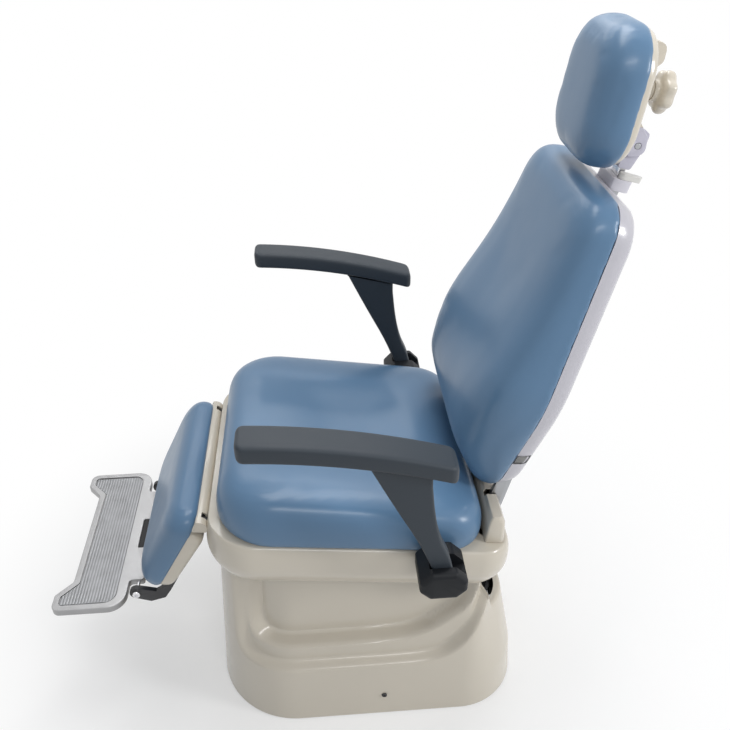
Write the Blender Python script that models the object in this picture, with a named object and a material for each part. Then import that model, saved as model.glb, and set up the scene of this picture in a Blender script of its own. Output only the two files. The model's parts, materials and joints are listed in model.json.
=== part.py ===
"""An electric ear, nose and throat examination chair, modelled piece by piece in metres.

The chair faces -X and stands on the floor at z = 0, with the origin under the middle of its base.
Left and right are the sitter's: left is -Y. Every piece is its own object, parented to the empty
of the joint that carries it, so a moving piece turns or slides with that empty.
"""
import bpy
import bmesh
import numpy as np
from math import atan2, cos, hypot, pi, radians, sin, tan

# Fits and facets
GAP = 0.0004
WELD_STEP = 0.0001
ROUND_SIDES = 12
ARC_STEPS = 6
SIDES = (("left", -1.0), ("right", 1.0))

# Base cover and plate
BASE_FRONT = 0.328
BASE_REAR = 0.314
BASE_WIDTH = 0.540
BASE_FRONT_RADIUS = 0.172
BASE_REAR_RADIUS = 0.130
BASE_FLARE = 0.075
COVER_WALL = 0.004
COVER_FLOOR_GAP = 0.003
COVER_RIM_ROUND = 0.008
COVER_SIDE_FLANGE = 0.014
COVER_REAR_FLANGE = 0.014
COVER_REAR_LEAN = 0.019
REAR_LEAN_FOOT = 0.090
REAR_LEAN_START = 0.200
REAR_LEAN_RUN = 0.080
COVER_REAR_TOP = 0.255
REAR_DROP_START = 0.240
REAR_DROP_RUN = 0.034
LEDGE_LOW_HEIGHT = 0.155
LEDGE_LOW_DEPTH = 0.020
LEDGE_HIGH_HEIGHT = 0.200
LEDGE_HIGH_DEPTH = 0.032
LEDGE_BLEND = 0.032
LEDGE_CORNER = 0.020
LEDGE_LOW_FRONT = -0.286
LEDGE_HIGH_FRONT = -0.272
LEDGE_LOW_REAR = 0.150
LEDGE_LOW_REAR_SLOPE = 0.70
LEDGE_HIGH_REAR = 0.100
LEDGE_HIGH_REAR_SLOPE = 1.05
PLATE_THICKNESS = 0.010
PLATE_MARGIN = 0.012
COVER_SCREW_X = 0.021
COVER_SCREW_HEIGHT = 0.060
COVER_SCREW_RADIUS = 0.0025
COVER_SCREW_HEAD_RADIUS = 0.0055
COVER_SCREW_HEAD_HEIGHT = 0.003
COVER_TAB_WIDTH = 0.030
COVER_TAB_THICKNESS = 0.004
COVER_TAB_HEIGHT = 0.085

# Lift inside the base
TOWER_INNER = 0.168
TOWER_WALL = 0.006
TOWER_TOP = 0.335
COLUMN_WALL = 0.005
COLUMN_BOTTOM = 0.060
CYLINDER_RADIUS = 0.034
CYLINDER_TOP = 0.310
ROD_RADIUS = 0.016
ROD_BOTTOM = 0.070
PUMP_LENGTH = 0.130
PUMP_WIDTH = 0.170
PUMP_HEIGHT = 0.180
CONTROL_LENGTH = 0.100
CONTROL_WIDTH = 0.200
CONTROL_HEIGHT = 0.110
CABINET_SPACING = 0.012
INLET_HEIGHT = 0.070
INLET_WIDTH = 0.046
INLET_TALL = 0.028
INLET_DEPTH = 0.030
INLET_FLANGE = 0.004
TRAY_HEIGHT = 0.222
TRAY_THICKNESS = 0.004
TRAY_LIP = 0.008
BELLOWS_FRONT_MARGIN = 0.083
BELLOWS_REAR_MARGIN = 0.058
BELLOWS_SIDE_MARGIN = 0.102
BELLOWS_FRONT_RADIUS = 0.110
BELLOWS_REAR_RADIUS = 0.060
BELLOWS_FOLD = 0.010
BELLOWS_FOLDS = 3
BELLOWS_WALL = 0.003

# Seat
SEAT_TILT = radians(6.8)
SEAM_HEIGHT = 0.4865
SKIRT_FRONT = 0.303
SKIRT_REAR = 0.272
SKIRT_WIDTH = 0.530
SKIRT_FRONT_RADIUS = 0.095
SKIRT_REAR_RADIUS = 0.064
SKIRT_DEPTH = 0.100
SKIRT_WALL = 0.004
SKIRT_LIP = 0.012
SKIRT_TOP_INSET = 0.014
SKIRT_FOOT_INSET = 0.024
OPENING_FRONT = 0.250
OPENING_REAR = 0.2455
OPENING_HALF_WIDTH = 0.204
FRAME_FRONT = 0.265
FRAME_REAR = 0.185
FRAME_HALF_WIDTH = 0.205
FRAME_DEPTH = 0.014
BOARD_MARGIN = 0.006
BOARD_REAR = 0.188
CUSHION_FRONT_MARGIN = 0.013
CUSHION_REAR = 0.2125
CUSHION_SIDE_MARGIN = 0.003
CUSHION_FRONT_RADIUS = 0.105
CUSHION_REAR_RADIUS = 0.085
CUSHION_FRONT_THICKNESS = 0.110
CUSHION_REAR_THICKNESS = 0.087
PAN_THICKNESS = 0.0035
PAN_HOLE_MARGIN = 0.004
RIM_CLEARANCE = 0.012

# Hinge plates share these bands across the chair
MOVING_PLATE_INSIDE = 0.150
MOVING_PLATE_THICKNESS = 0.010
PLATE_PLAY = 0.0008
FIXED_PLATE_THICKNESS = 0.010
SLOT_PLAY = 0.002

# Backrest
BACK_PIVOT_X = 0.232
BACK_PIVOT_Z = 0.450
BACK_TILT = radians(16.2)
BACK_SHAFT_RADIUS = 0.008
BACK_EYE_RADIUS = 0.0155
BACK_SEAM = 0.020
BACK_BOTTOM = 0.0735
BACK_TOP = 0.660
BACK_TUCK = 0.46
BACK_TUCK_RUN = 0.120
BACK_BOTTOM_HALF_WIDTH = 0.176
BACK_HIP_HALF_WIDTH = 0.222
BACK_HIP = 0.300
BACK_TOP_HALF_WIDTH = 0.176
BACK_BOTTOM_RADIUS = 0.068
BACK_HIP_RADIUS = 0.300
BACK_TOP_RADIUS = 0.060
BACK_THICKNESS = 0.062
LUMBAR_SWELL = 0.057
LUMBAR_CENTRE = 0.230
LUMBAR_SPREAD = 0.200
BACK_SHELL_MARGIN = 0.006
BACK_SHELL_EDGE = 0.040
BACK_SHELL_CROWN = 0.066
BACK_SHELL_WALL = 0.004
BACK_FRAME_THICKNESS = 0.005
BACK_FRAME_BOTTOM = 0.135
BACK_FRAME_TOP = 0.590
BACK_ARM_TOP = 0.300
BACK_ARM_RADIUS = 0.009
HINGE_COVER_REACH = 0.070
HINGE_COVER_FRONT = 0.2145
HINGE_COVER_DEPTH = 0.039
HINGE_COVER_LEAN = 0.010
HINGE_COVER_HALF_WIDTH = 0.230
HINGE_COVER_RADIUS = 0.010
HINGE_COVER_WALL = 0.0025

# Recline drive and leg-rest link
RECLINE_RANGE = radians(55)
LEVER_REACH = 0.049
LEVER_REST = radians(12)
LEVER_TIP_RADIUS = 0.013
LEVER_PIN_RADIUS = 0.004
LEVER_SLOT_PLAY = 0.0045
LEVER_SLOT_LENGTH = 0.010
ROD_TRAVEL_SHARE = 0.955
ACTUATOR_BODY_LENGTH = 0.090
ACTUATOR_TUBE_LENGTH = 0.190
ACTUATOR_FRONT = 0.225
ACTUATOR_TUBE_RADIUS = 0.018
ACTUATOR_ROD_RADIUS = 0.009
ACTUATOR_ROD_LENGTH = 0.270
ACTUATOR_BORE_DEPTH = 0.150
LINK_THICKNESS = 0.009
LINK_HALF_DEPTH = 0.009

# Leg-rest and footplate
LEG_PIVOT_X = -0.317
LEG_PIVOT_Z = 0.500
LEG_TILT = radians(28.5)
LEG_RANGE = radians(45)
LEG_LEVER_REST = radians(22.5)
LEG_SHAFT_RADIUS = 0.005
LEG_EYE_RADIUS = 0.0083
LEG_SEAM = 0.0115
LEG_TOP = 0.020
LEG_LENGTH = 0.234
LEG_TOP_HALF_WIDTH = 0.204
LEG_BOTTOM_HALF_WIDTH = 0.185
LEG_TOP_RADIUS = 0.040
LEG_BOTTOM_RADIUS = 0.055
LEG_THICKNESS = 0.050
LEG_SHELL_TOP = 0.016
LEG_SHELL_DEPTH = 0.030
LEG_SHELL_FOOT_DEPTH = 0.021
LEG_SHELL_MARGIN = 0.005
LEG_SHELL_WALL = 0.004
LEG_BAR_DEPTH = 0.011
LEG_BAR_FOOT_DEPTH = 0.009
LEG_HOOD_INNER = 0.0088
LEG_HOOD_WALL = 0.0022
LEG_HOOD_HALF_WIDTH = 0.188
FOOT_HINGE_X = -0.470
FOOT_HINGE_Z = 0.302
FOOT_EYE_RADIUS = 0.014
FOOT_THICKNESS = 0.016
FOOT_LENGTH = 0.161
FOOT_HALF_WIDTH = 0.197
FOOT_RECESS = 0.030
FOOT_RECESS_HALF_WIDTH = 0.126
FOOT_RECESS_SLOPE = 0.032
FOOT_REAR = 0.018
FOOT_NECK_HALF_WIDTH = 0.130
FOOT_NECK_TAIL = 0.011
FOOT_NOTCH_HALF_WIDTH = 0.042
FOOT_NOTCH_DEPTH = 0.014
FOOT_CORNER_RADIUS = 0.016
FOOT_REAR_CORNER_RADIUS = 0.036
FOOT_BOLT_RADIUS = 0.004
FOOT_BOLT_HEAD_RADIUS = 0.008
FOOT_BOLT_HEAD_HEIGHT = 0.005
FOOT_BOLT_GRIP = 0.040

# Arms
ARM_PIVOT_X = 0.117
ARM_PIVOT_Z = 0.507
ARM_STANDOFF = 0.055
ARM_SWING = radians(90)
ARM_POST_THICKNESS = 0.030
ARM_TONGUE_RADIUS = 0.018
ARM_PIN_RADIUS = 0.008
ARM_PAD_FRONT = -0.325
ARM_PAD_LENGTH = 0.340
ARM_PAD_HEIGHT = 0.298
ARM_PAD_DROP = 0.018
ARM_PAD_CURVE = 0.050
ARM_PAD_WIDTH = 0.060
ARM_PAD_THICKNESS = 0.035
ARM_POST_FRONT = -0.127
ARM_POST_REAR = -0.024
ARM_POST_WAIST = 0.072
KNUCKLE_HALF_LENGTH = 0.042
KNUCKLE_RISE = 0.014
KNUCKLE_DROP = 0.048
KNUCKLE_CORNER = 0.020
KNUCKLE_TOP_CORNER = 0.016
KNUCKLE_OUTER_CHEEK = 0.018
KNUCKLE_CHAMFER = 0.006
KNUCKLE_SLOT_LEAN = radians(8)
KNUCKLE_SLOT_FLARE = 0.02
OUTRIGGER_DEPTH = 0.012
OUTRIGGER_LENGTH = 0.050
OUTRIGGER_PLATE = 0.006
OUTRIGGER_PLATE_HEIGHT = 0.060

# Headrest
BAR_OFFSET = 0.021
BAR_DEPTH = 0.012
BAR_WIDTH = 0.030
BAR_BOTTOM = 0.420
GUIDE_WALL = 0.004
GUIDE_BOTTOM = 0.400
GUIDE_TOP = 0.645
COLLAR_HEIGHT = 0.020
COLLAR_DEEP = 0.012
COLLAR_WIDE = 0.021
LOCK_LEVER_BOSS_RADIUS = 0.008
LOCK_LEVER_STUB_RADIUS = 0.004
LOCK_LEVER_STUB_LENGTH = 0.012
LOCK_LEVER_HEIGHT = 0.010
LOCK_LEVER_LENGTH = 0.026
LOCK_LEVER_TIP_RADIUS = 0.0055
HEAD_PIVOT_ABOVE_GUIDE = 0.077
HEAD_TILT = radians(9.0)
HEAD_BRACKET_WIDTH = 0.042
HEAD_BRACKET_ABOVE_GUIDE = 0.035
HEAD_PIN_RADIUS = 0.005
HEAD_SEAM = 0.052
HEAD_BOTTOM = -0.038
HEAD_TOP = 0.182
HEAD_HALF_WIDTH = 0.112
HEAD_TOP_HALF_WIDTH = 0.100
HEAD_RADIUS = 0.070
HEAD_THICKNESS = 0.067
HEAD_SHELL_DEPTH = 0.018
HEAD_SHELL_MARGIN = 0.006
HEAD_SHELL_WALL = 0.003
HEAD_EAR_THICKNESS = 0.008
HEAD_EAR_RADIUS = 0.013
KNOB_UP = 0.082
KNOB_NECK_RADIUS = 0.014
KNOB_NECK_END = 0.004
KNOB_RADIUS = 0.032
KNOB_LOBE = 0.0035
KNOB_LOBES = 7
KNOB_THICKNESS = 0.031
KNOB_STUD_RADIUS = 0.005
KNOB_STUD_LENGTH = 0.024


def turn(x, z, angle):
    """Turn a side-view point about the lateral axis, from upright towards the rear."""
    return x * cos(angle) + z * sin(angle), z * cos(angle) - x * sin(angle)


class Frame:
    """A side-view frame: an origin and a lean about the lateral axis, carried by an empty."""

    def __init__(self, name, x, z, tilt=0.0, y=0.0):
        self.x, self.z, self.tilt = x, z, tilt
        self.empty = bpy.data.objects.new(name, None)
        self.empty.location = (x, y, z)
        self.empty.rotation_euler = (0.0, tilt, 0.0)
        bpy.context.collection.objects.link(self.empty)

    def world(self, x, z):
        dx, dz = turn(x, z, self.tilt)
        return self.x + dx, self.z + dz

    def local(self, x, z):
        return turn(x - self.x, z - self.z, -self.tilt)


def smooth(t):
    """Ease from 0 to 1 as t runs from 0 to 1."""
    t = np.clip(t, 0.0, 1.0)
    return t * t * (3.0 - 2.0 * t)


def rounded_polygon(corners, radii, steps=ARC_STEPS):
    """Replace each corner of a counter-clockwise polygon with an arc tangent to both its sides."""
    corners = np.asarray(corners, dtype=float)
    points = []
    for i, corner in enumerate(corners):
        before = corners[i - 1] - corner
        after = corners[(i + 1) % len(corners)] - corner
        before /= np.linalg.norm(before)
        after /= np.linalg.norm(after)
        radius = radii[i]
        if radius == 0.0:
            points.append(corner)
            continue
        half = 0.5 * np.arccos(np.clip(before @ after, -1.0, 1.0))
        bisector = (before + after) / np.linalg.norm(before + after)
        centre = corner + bisector * radius / sin(half)
        start = corner + before * radius / tan(half) - centre
        end = corner + after * radius / tan(half) - centre
        first = atan2(start[1], start[0])
        sweep = atan2(start[0] * end[1] - start[1] * end[0], start @ end)
        for angle in first + sweep * np.linspace(0.0, 1.0, steps + 1):
            points.append(centre + radius * np.array((cos(angle), sin(angle))))
    return np.array(points)


def rounded_box(x0, x1, half_width, front_radius, rear_radius, steps=ARC_STEPS):
    """A plan outline with its own corner radius at the front and at the rear."""
    corners = ((x0, -half_width), (x1, -half_width), (x1, half_width), (x0, half_width))
    return rounded_polygon(corners, (front_radius, rear_radius, rear_radius, front_radius), steps)


def refine(points, spacing):
    """Split the sides of a closed outline that are longer than the spacing."""
    out = []
    for start, end in zip(points, np.roll(points, -1, axis=0)):
        count = max(1, int(np.ceil(np.linalg.norm(end - start) / spacing)))
        out.extend(start + (end - start) * k / count for k in range(count))
    return np.array(out)


def outward(points):
    """The outward normals of a counter-clockwise outline."""
    along = np.roll(points, -1, axis=0) - np.roll(points, 1, axis=0)
    normal = np.column_stack((along[:, 1], -along[:, 0]))
    return normal / np.linalg.norm(normal, axis=1)[:, None]


def circle(x, z, radius, sides=ROUND_SIDES, first=0.0, sweep=2 * pi):
    """Points on a circle or an arc in a plane."""
    count = sides if sweep == 2 * pi else sides + 1
    angles = first + sweep * np.arange(count) / sides
    return np.column_stack((x + radius * np.cos(angles), z + radius * np.sin(angles)))


def tapered_bar(start, start_radius, end, end_radius, steps=8):
    """The outline round two circles and the straight sides that touch both."""
    dx, dz = end[0] - start[0], end[1] - start[1]
    heading = atan2(dz, dx)
    lean = np.arccos((start_radius - end_radius) / hypot(dx, dz))
    near = circle(*start, start_radius, steps, heading + lean, 2 * pi - 2 * lean)
    far = circle(*end, end_radius, steps, heading - lean, 2 * lean)
    return np.vstack((near, far))


def bore(radius):
    """The corner radius of a faceted hole that clears a round piece."""
    return (radius + GAP) / cos(pi / ROUND_SIDES)


def plane_z(outline, z):
    return np.column_stack((outline, np.broadcast_to(z, len(outline))))


def plane_y(outline, y):
    return np.column_stack((outline[:, 0], np.broadcast_to(y, len(outline)), outline[:, 1]))


def plane_x(outline, x):
    return np.column_stack((np.broadcast_to(x, len(outline)), outline))


def make(name, rings, finish, frame, joined=False):
    """Skin a row of point rings into one closed body: capped at both ends, or joined end to end."""
    shape = bmesh.new()
    loops = [[shape.verts.new(point) for point in ring] for ring in rings]
    pairs = list(zip(loops, loops[1:]))
    if joined:
        pairs.append((loops[-1], loops[0]))
    else:
        shape.faces.new(loops[0])
        shape.faces.new(loops[-1])
    for lower, upper in pairs:
        for i in range(len(lower)):
            j = (i + 1) % len(lower)
            shape.faces.new((lower[i], lower[j], upper[j], upper[i]))
    bmesh.ops.recalc_face_normals(shape, faces=shape.faces)
    mesh = bpy.data.meshes.new(name)
    shape.to_mesh(mesh)
    shape.free()
    mesh.shade_smooth()
    mesh.set_sharp_from_angle(angle=radians(35))
    mesh.materials.append(finish)
    body = bpy.data.objects.new(name, mesh)
    body.parent = frame.empty
    bpy.context.collection.objects.link(body)
    return body


def plate(name, outline, y0, y1, finish, frame):
    """A side-view outline given its thickness across the chair."""
    return make(name, (plane_y(outline, y0), plane_y(outline, y1)), finish, frame)


def block(name, x, y, z, finish, frame):
    """A box between two limits on each axis."""
    outline = np.array(((x[0], y[0]), (x[1], y[0]), (x[1], y[1]), (x[0], y[1])))
    return make(name, (plane_z(outline, z[0]), plane_z(outline, z[1])), finish, frame)


def rod(name, x, z, radius, y0, y1, finish, frame, sides=ROUND_SIDES):
    """A round bar across the chair."""
    return plate(name, circle(x, z, radius, sides), y0, y1, finish, frame)


def band(side, inside, thickness):
    """The limits across the chair of a plate on one side."""
    return sorted((side * inside, side * (inside + thickness)))


def combine(body, tool, operation):
    """Cut one body with another, or weld it on. The tool is only a guide."""
    modifier = body.modifiers.new(tool.name, "BOOLEAN")
    modifier.operation = operation
    modifier.solver = "EXACT"
    modifier.object = tool
    tool.hide_render = True
    tool.display_type = "WIRE"


def finish(name, colour, roughness, metallic=0.0):
    """A plain surface with its colour, roughness and metal value."""
    material = bpy.data.materials.new(name)
    material.use_nodes = True
    shader = material.node_tree.nodes["Principled BSDF"]
    shader.inputs["Base Color"].default_value = (*colour, 1.0)
    shader.inputs["Roughness"].default_value = roughness
    shader.inputs["Metallic"].default_value = metallic
    return material


def pad(name, outline, layers, place, finish_used, frame, swell=None):
    """A soft pad: its outline drawn in layer by layer, each layer further from the seam.

    place turns outline points and a distance from the seam into points in the frame.
    swell gives the share of each distance that holds at a point of the outline.
    """
    centre = 0.5 * (outline.min(axis=0) + outline.max(axis=0))
    half = 0.5 * (outline.max(axis=0) - outline.min(axis=0))
    rings = []
    for inset, depth in layers:
        shrunk = centre + (outline - centre) * (half - inset) / half
        share = 1.0 if swell is None else swell(shrunk)
        rings.append(place(shrunk, depth * share))
    return make(name, rings, finish_used, frame)


def base_outline(inset=0.0):
    return rounded_box(inset - BASE_FRONT, BASE_REAR - inset, 0.5 * BASE_WIDTH - inset,
                       BASE_FRONT_RADIUS - inset,
                       BASE_REAR_RADIUS - inset)


def pan_underside(x):
    """The world height of the under pan's lower face above a place on the floor."""
    return SEAM_HEIGHT - SKIRT_DEPTH / cos(SEAT_TILT) - x * tan(SEAT_TILT)


def within(x, z, height, front, rear, slope):
    """How deep a point lies inside a waist panel: a soft minimum of the distances to its sill, its front
    edge and its rear edge, which leans back as it rises."""
    lean = 1.0 / (1.0 + slope * slope) ** 0.5
    edges = (z - height, x - front, (rear + slope * (z - height) - x) * lean)
    return -LEDGE_CORNER * np.log(sum(np.exp(-edge / LEDGE_CORNER) for edge in edges))


def recess(x, z):
    """How far the column wall lies inside the plinth, in two steps inside the waist panels."""
    low = within(x, z, LEDGE_LOW_HEIGHT, LEDGE_LOW_FRONT, LEDGE_LOW_REAR, LEDGE_LOW_REAR_SLOPE)
    high = within(x, z, LEDGE_HIGH_HEIGHT, LEDGE_HIGH_FRONT, LEDGE_HIGH_REAR, LEDGE_HIGH_REAR_SLOPE)
    low_step = LEDGE_LOW_DEPTH * smooth(low / LEDGE_BLEND + 0.5)
    return low_step + LEDGE_HIGH_DEPTH * smooth(high / LEDGE_BLEND + 0.5)


def rear_lean(x, z):
    """How far the rear wall leans in above its foot, beyond the plinth's flare."""
    rise = (z - REAR_LEAN_FOOT) / (COVER_REAR_TOP - REAR_LEAN_FOOT)
    return COVER_REAR_LEAN * smooth((x - REAR_LEAN_START) / REAR_LEAN_RUN) * np.clip(rise, 0.0, 1.0)


def build_base_cover(root, finishes):
    """The moulded base cover: a thin shell with a stepped waist and a low rear hump."""
    outline = refine(base_outline(), 0.045)
    normal = outward(outline)
    x = outline[:, 0]
    drop = smooth((x - REAR_DROP_START) / REAR_DROP_RUN)
    top = (1.0 - drop) * (pan_underside(x) - RIM_CLEARANCE) + drop * COVER_REAR_TOP
    flange = COVER_SIDE_FLANGE + drop * (COVER_REAR_FLANGE - COVER_SIDE_FLANGE)

    def ring(z, inset):
        total = BASE_FLARE * z + recess(x, z) + rear_lean(x, z) + inset
        return plane_z(outline - normal * total[:, None], z)

    shares = (0.0, 0.34, 0.39, 0.455, 0.52, 0.59, 0.68, 0.82, 1.0)
    shoulder = top - COVER_RIM_ROUND
    levels = [COVER_FLOOR_GAP + share * (shoulder - COVER_FLOOR_GAP) for share in shares]
    rings = [ring(z, 0.0) for z in levels]
    rings.append(ring(top, COVER_RIM_ROUND * np.ones_like(x)))
    rings.append(ring(top, flange))
    rings.append(ring(top - COVER_WALL, flange))
    rings.extend(ring(z, COVER_WALL * np.ones_like(x)) for z in reversed(levels))
    cover = make("base_cover", rings, finishes["cream"], root, joined=True)

    wall_x = BASE_REAR - BASE_FLARE * (INLET_HEIGHT - 0.5 * INLET_TALL)
    hole = (0.5 * INLET_WIDTH + GAP, 0.5 * INLET_TALL + GAP)
    cutter = block("inlet_cutout", (wall_x - INLET_DEPTH, wall_x + INLET_DEPTH), (-hole[0], hole[0]),
                   (INLET_HEIGHT - hole[1], INLET_HEIGHT + hole[1]), finishes["black"], root)
    combine(cover, cutter, "DIFFERENCE")
    inlet_rings = []
    flange_y, flange_z = 0.5 * INLET_WIDTH + INLET_FLANGE, 0.5 * INLET_TALL + INLET_FLANGE
    for x_here, half_y, half_z in (
        (wall_x - INLET_DEPTH + GAP, hole[0] - GAP, hole[1] - GAP),
        (wall_x + GAP, hole[0] - GAP, hole[1] - GAP),
        (wall_x + GAP, flange_y, flange_z),
        (wall_x + INLET_FLANGE, flange_y, flange_z),
    ):
        corners = ((-half_y, -half_z), (half_y, -half_z), (half_y, half_z), (-half_y, half_z))
        outline_here = rounded_polygon(corners, [INLET_FLANGE] * 4, 3)
        inlet_rings.append(plane_x(outline_here + (0.0, INLET_HEIGHT), x_here))
    make("power_inlet", inlet_rings, finishes["black"], root)
    return cover


def build_base(root, finishes):
    """The floor plate, its cover, and the lift unit that stands on it."""
    floor_outline = base_outline(PLATE_MARGIN)
    floor_plate = make("base_plate", (plane_z(floor_outline, 0.0), plane_z(floor_outline, PLATE_THICKNESS)),
                       finishes["black_steel"], root)
    cover = build_base_cover(root, finishes)

    wall_y = 0.5 * BASE_WIDTH - BASE_FLARE * COVER_SCREW_HEIGHT
    lean = BASE_FLARE * (COVER_TAB_HEIGHT - COVER_SCREW_HEIGHT)
    tab_y = wall_y - COVER_WALL - lean - COVER_TAB_THICKNESS - GAP
    tab_x = (COVER_SCREW_X - 0.5 * COVER_TAB_WIDTH, COVER_SCREW_X + 0.5 * COVER_TAB_WIDTH)
    for name, side in SIDES:
        y = band(side, tab_y, COVER_TAB_THICKNESS)
        tab = block("cover_tab_" + name, tab_x, y, (0.5 * PLATE_THICKNESS, COVER_TAB_HEIGHT),
                    finishes["black_steel"], root)
        combine(floor_plate, tab, "UNION")
        head = wall_y + COVER_SCREW_HEAD_HEIGHT
        drill = rod("cover_screw_hole_" + name, COVER_SCREW_X, COVER_SCREW_HEIGHT, bore(COVER_SCREW_RADIUS),
                    *sorted((side * (tab_y - COVER_WALL),
                             side * (head + COVER_WALL))), finishes["black"], root)
        combine(cover, drill, "DIFFERENCE")
        combine(floor_plate, drill, "DIFFERENCE")
        tip, seat = tab_y - COVER_TAB_THICKNESS, wall_y + BASE_FLARE * COVER_SCREW_HEAD_RADIUS + GAP
        rings = [plane_y(circle(COVER_SCREW_X, COVER_SCREW_HEIGHT, radius), side * y_here)
                 for radius, y_here in ((COVER_SCREW_RADIUS, tip), (COVER_SCREW_RADIUS, seat),
                                        (COVER_SCREW_HEAD_RADIUS, seat),
                                        (0.7 * COVER_SCREW_HEAD_RADIUS, seat + COVER_SCREW_HEAD_HEIGHT))]
        make("cover_screw_" + name, rings, finishes["black_steel"], root)

    bottom = PLATE_THICKNESS + GAP
    inside, outside = 0.5 * TOWER_INNER, 0.5 * TOWER_INNER + TOWER_WALL
    tower_out = rounded_box(-outside, outside, outside, 0.012, 0.012, 3)
    tower_in = rounded_box(-inside, inside, inside, 0.006, 0.006, 3)
    make("guide_tower", (plane_z(tower_out, bottom), plane_z(tower_out, TOWER_TOP),
                         plane_z(tower_in, TOWER_TOP), plane_z(tower_in, bottom)),
         finishes["grey_steel"], root, joined=True)
    wall, hollow = circle(0, 0, CYLINDER_RADIUS), circle(0, 0, bore(ROD_RADIUS))
    make("lift_cylinder", (plane_z(wall, bottom), plane_z(wall, CYLINDER_TOP),
                           plane_z(hollow, CYLINDER_TOP),
                           plane_z(hollow, ROD_BOTTOM - GAP)), finishes["grey_steel"], root)

    pump_rear = -outside - CABINET_SPACING
    pump = rounded_box(pump_rear - PUMP_LENGTH, pump_rear, 0.5 * PUMP_WIDTH, 0.020, 0.020, 3)
    make("pump_unit", (plane_z(pump, bottom), plane_z(pump, PUMP_HEIGHT)), finishes["black_steel"], root)
    control_front = outside + CABINET_SPACING
    control = rounded_box(control_front, control_front + CONTROL_LENGTH, 0.5 * CONTROL_WIDTH, 0.006, 0.006,
                          2)
    make("control_box", (plane_z(control, bottom), plane_z(control, CONTROL_HEIGHT)),
         finishes["grey_plastic"], root)
    build_bellows(root, finishes, outside)


def build_bellows(root, finishes, tower_half):
    """The rubber bellows that hides the lift, standing on a tray round the guide tower."""
    def ring(inset):
        return rounded_box(BELLOWS_FRONT_MARGIN - BASE_FRONT + inset,
                           BASE_REAR - BELLOWS_REAR_MARGIN - inset,
                           0.5 * BASE_WIDTH - BELLOWS_SIDE_MARGIN - inset, BELLOWS_FRONT_RADIUS - inset,
                           BELLOWS_REAR_RADIUS - inset, 4)

    hole = rounded_box(-tower_half - GAP, tower_half + GAP, tower_half + GAP, 0.012, 0.012, 4)
    tray_top = TRAY_HEIGHT + TRAY_THICKNESS
    rim = ring(-TRAY_LIP)
    make("bellows_tray", (plane_z(rim, TRAY_HEIGHT), plane_z(rim, tray_top), plane_z(hole, tray_top),
                          plane_z(hole, TRAY_HEIGHT)), finishes["black_steel"], root, joined=True)

    foot = tray_top + GAP
    folds = 2 * BELLOWS_FOLDS
    outer, inner = [], []
    for k in range(folds + 1):
        depth = BELLOWS_FOLD * (k % 2)
        for rings, inset in ((outer, depth), (inner, depth + BELLOWS_WALL)):
            outline = ring(inset)
            head = pan_underside(outline[:, 0]) - GAP
            rings.append(plane_z(outline, foot + (head - foot) * k / folds))
    make("lift_bellows", outer + inner[::-1], finishes["rubber"], root, joined=True)


def skirt_outline():
    return rounded_box(-SKIRT_FRONT, SKIRT_REAR, 0.5 * SKIRT_WIDTH, SKIRT_FRONT_RADIUS,
                       SKIRT_REAR_RADIUS)


def drawn_in(outline, front, side, rear):
    """Move an outline inwards by its own distance at the front, the sides and the rear."""
    normal = outward(outline)
    ends = np.where(normal[:, 0] < 0.0, front, rear)
    inset = ends * normal[:, 0] ** 2 + side * normal[:, 1] ** 2
    return outline - normal * inset[:, None]


def build_skirt(seat, finishes, slots):
    """The moulded skirt round the seat, belly outwards, with a flange that carries the cushion edge."""
    outline = skirt_outline()

    def ring(inset, up):
        return plane_z(drawn_in(outline, inset, inset, inset), up)

    opening = drawn_in(outline, SKIRT_FRONT - OPENING_FRONT, 0.5 * SKIRT_WIDTH - OPENING_HALF_WIDTH,
                       SKIRT_REAR - OPENING_REAR)
    lip = drawn_in(outline, SKIRT_FRONT - OPENING_FRONT - SKIRT_WALL,
                   0.5 * SKIRT_WIDTH - OPENING_HALF_WIDTH - SKIRT_WALL,
                   SKIRT_REAR - OPENING_REAR - SKIRT_WALL)
    profile = [(SKIRT_FOOT_INSET * (1.0 - sin(0.5 * pi * share)), -SKIRT_DEPTH * (1.0 - 0.55 * share))
               for share in (0.0, 0.3, 0.65, 1.0)]
    profile += [(SKIRT_TOP_INSET * (1.0 - cos(0.5 * pi * share)),
                 -0.45 * SKIRT_DEPTH * (1.0 - sin(0.5 * pi * share)))
                for share in (0.4, 0.75)]
    rings = [ring(inset, up) for inset, up in profile]
    rings += [ring(SKIRT_TOP_INSET, 0.0), plane_z(opening, 0.0), plane_z(opening, -SKIRT_LIP),
              plane_z(lip, -SKIRT_LIP), plane_z(lip, -SKIRT_WALL), ring(SKIRT_TOP_INSET + SKIRT_WALL,
                                                                        -SKIRT_WALL)]
    rings += [ring(inset + SKIRT_WALL, up) for inset, up in reversed(profile)]
    skirt = make("seat_skirt", rings, finishes["cream"], seat, joined=True)
    for slot in slots:
        combine(skirt, slot, "DIFFERENCE")

    inset = SKIRT_FOOT_INSET + SKIRT_WALL + GAP
    edge = drawn_in(outline, inset, inset, inset)
    half = 0.5 * TOWER_INNER + PAN_HOLE_MARGIN
    hole = rounded_box(-half, half, half, 0.006, 0.006)
    low, high = -SKIRT_DEPTH, -SKIRT_DEPTH + PAN_THICKNESS
    shift = SKIRT_DEPTH * tan(SEAT_TILT)
    hole = hole + (shift, 0.0)
    make("seat_underpan", (plane_z(edge, low), plane_z(edge, high), plane_z(hole, high),
                           plane_z(hole, low)),
         finishes["black"], seat, joined=True)


def frame_underside():
    return -SKIRT_LIP - GAP - FRAME_DEPTH


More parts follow.
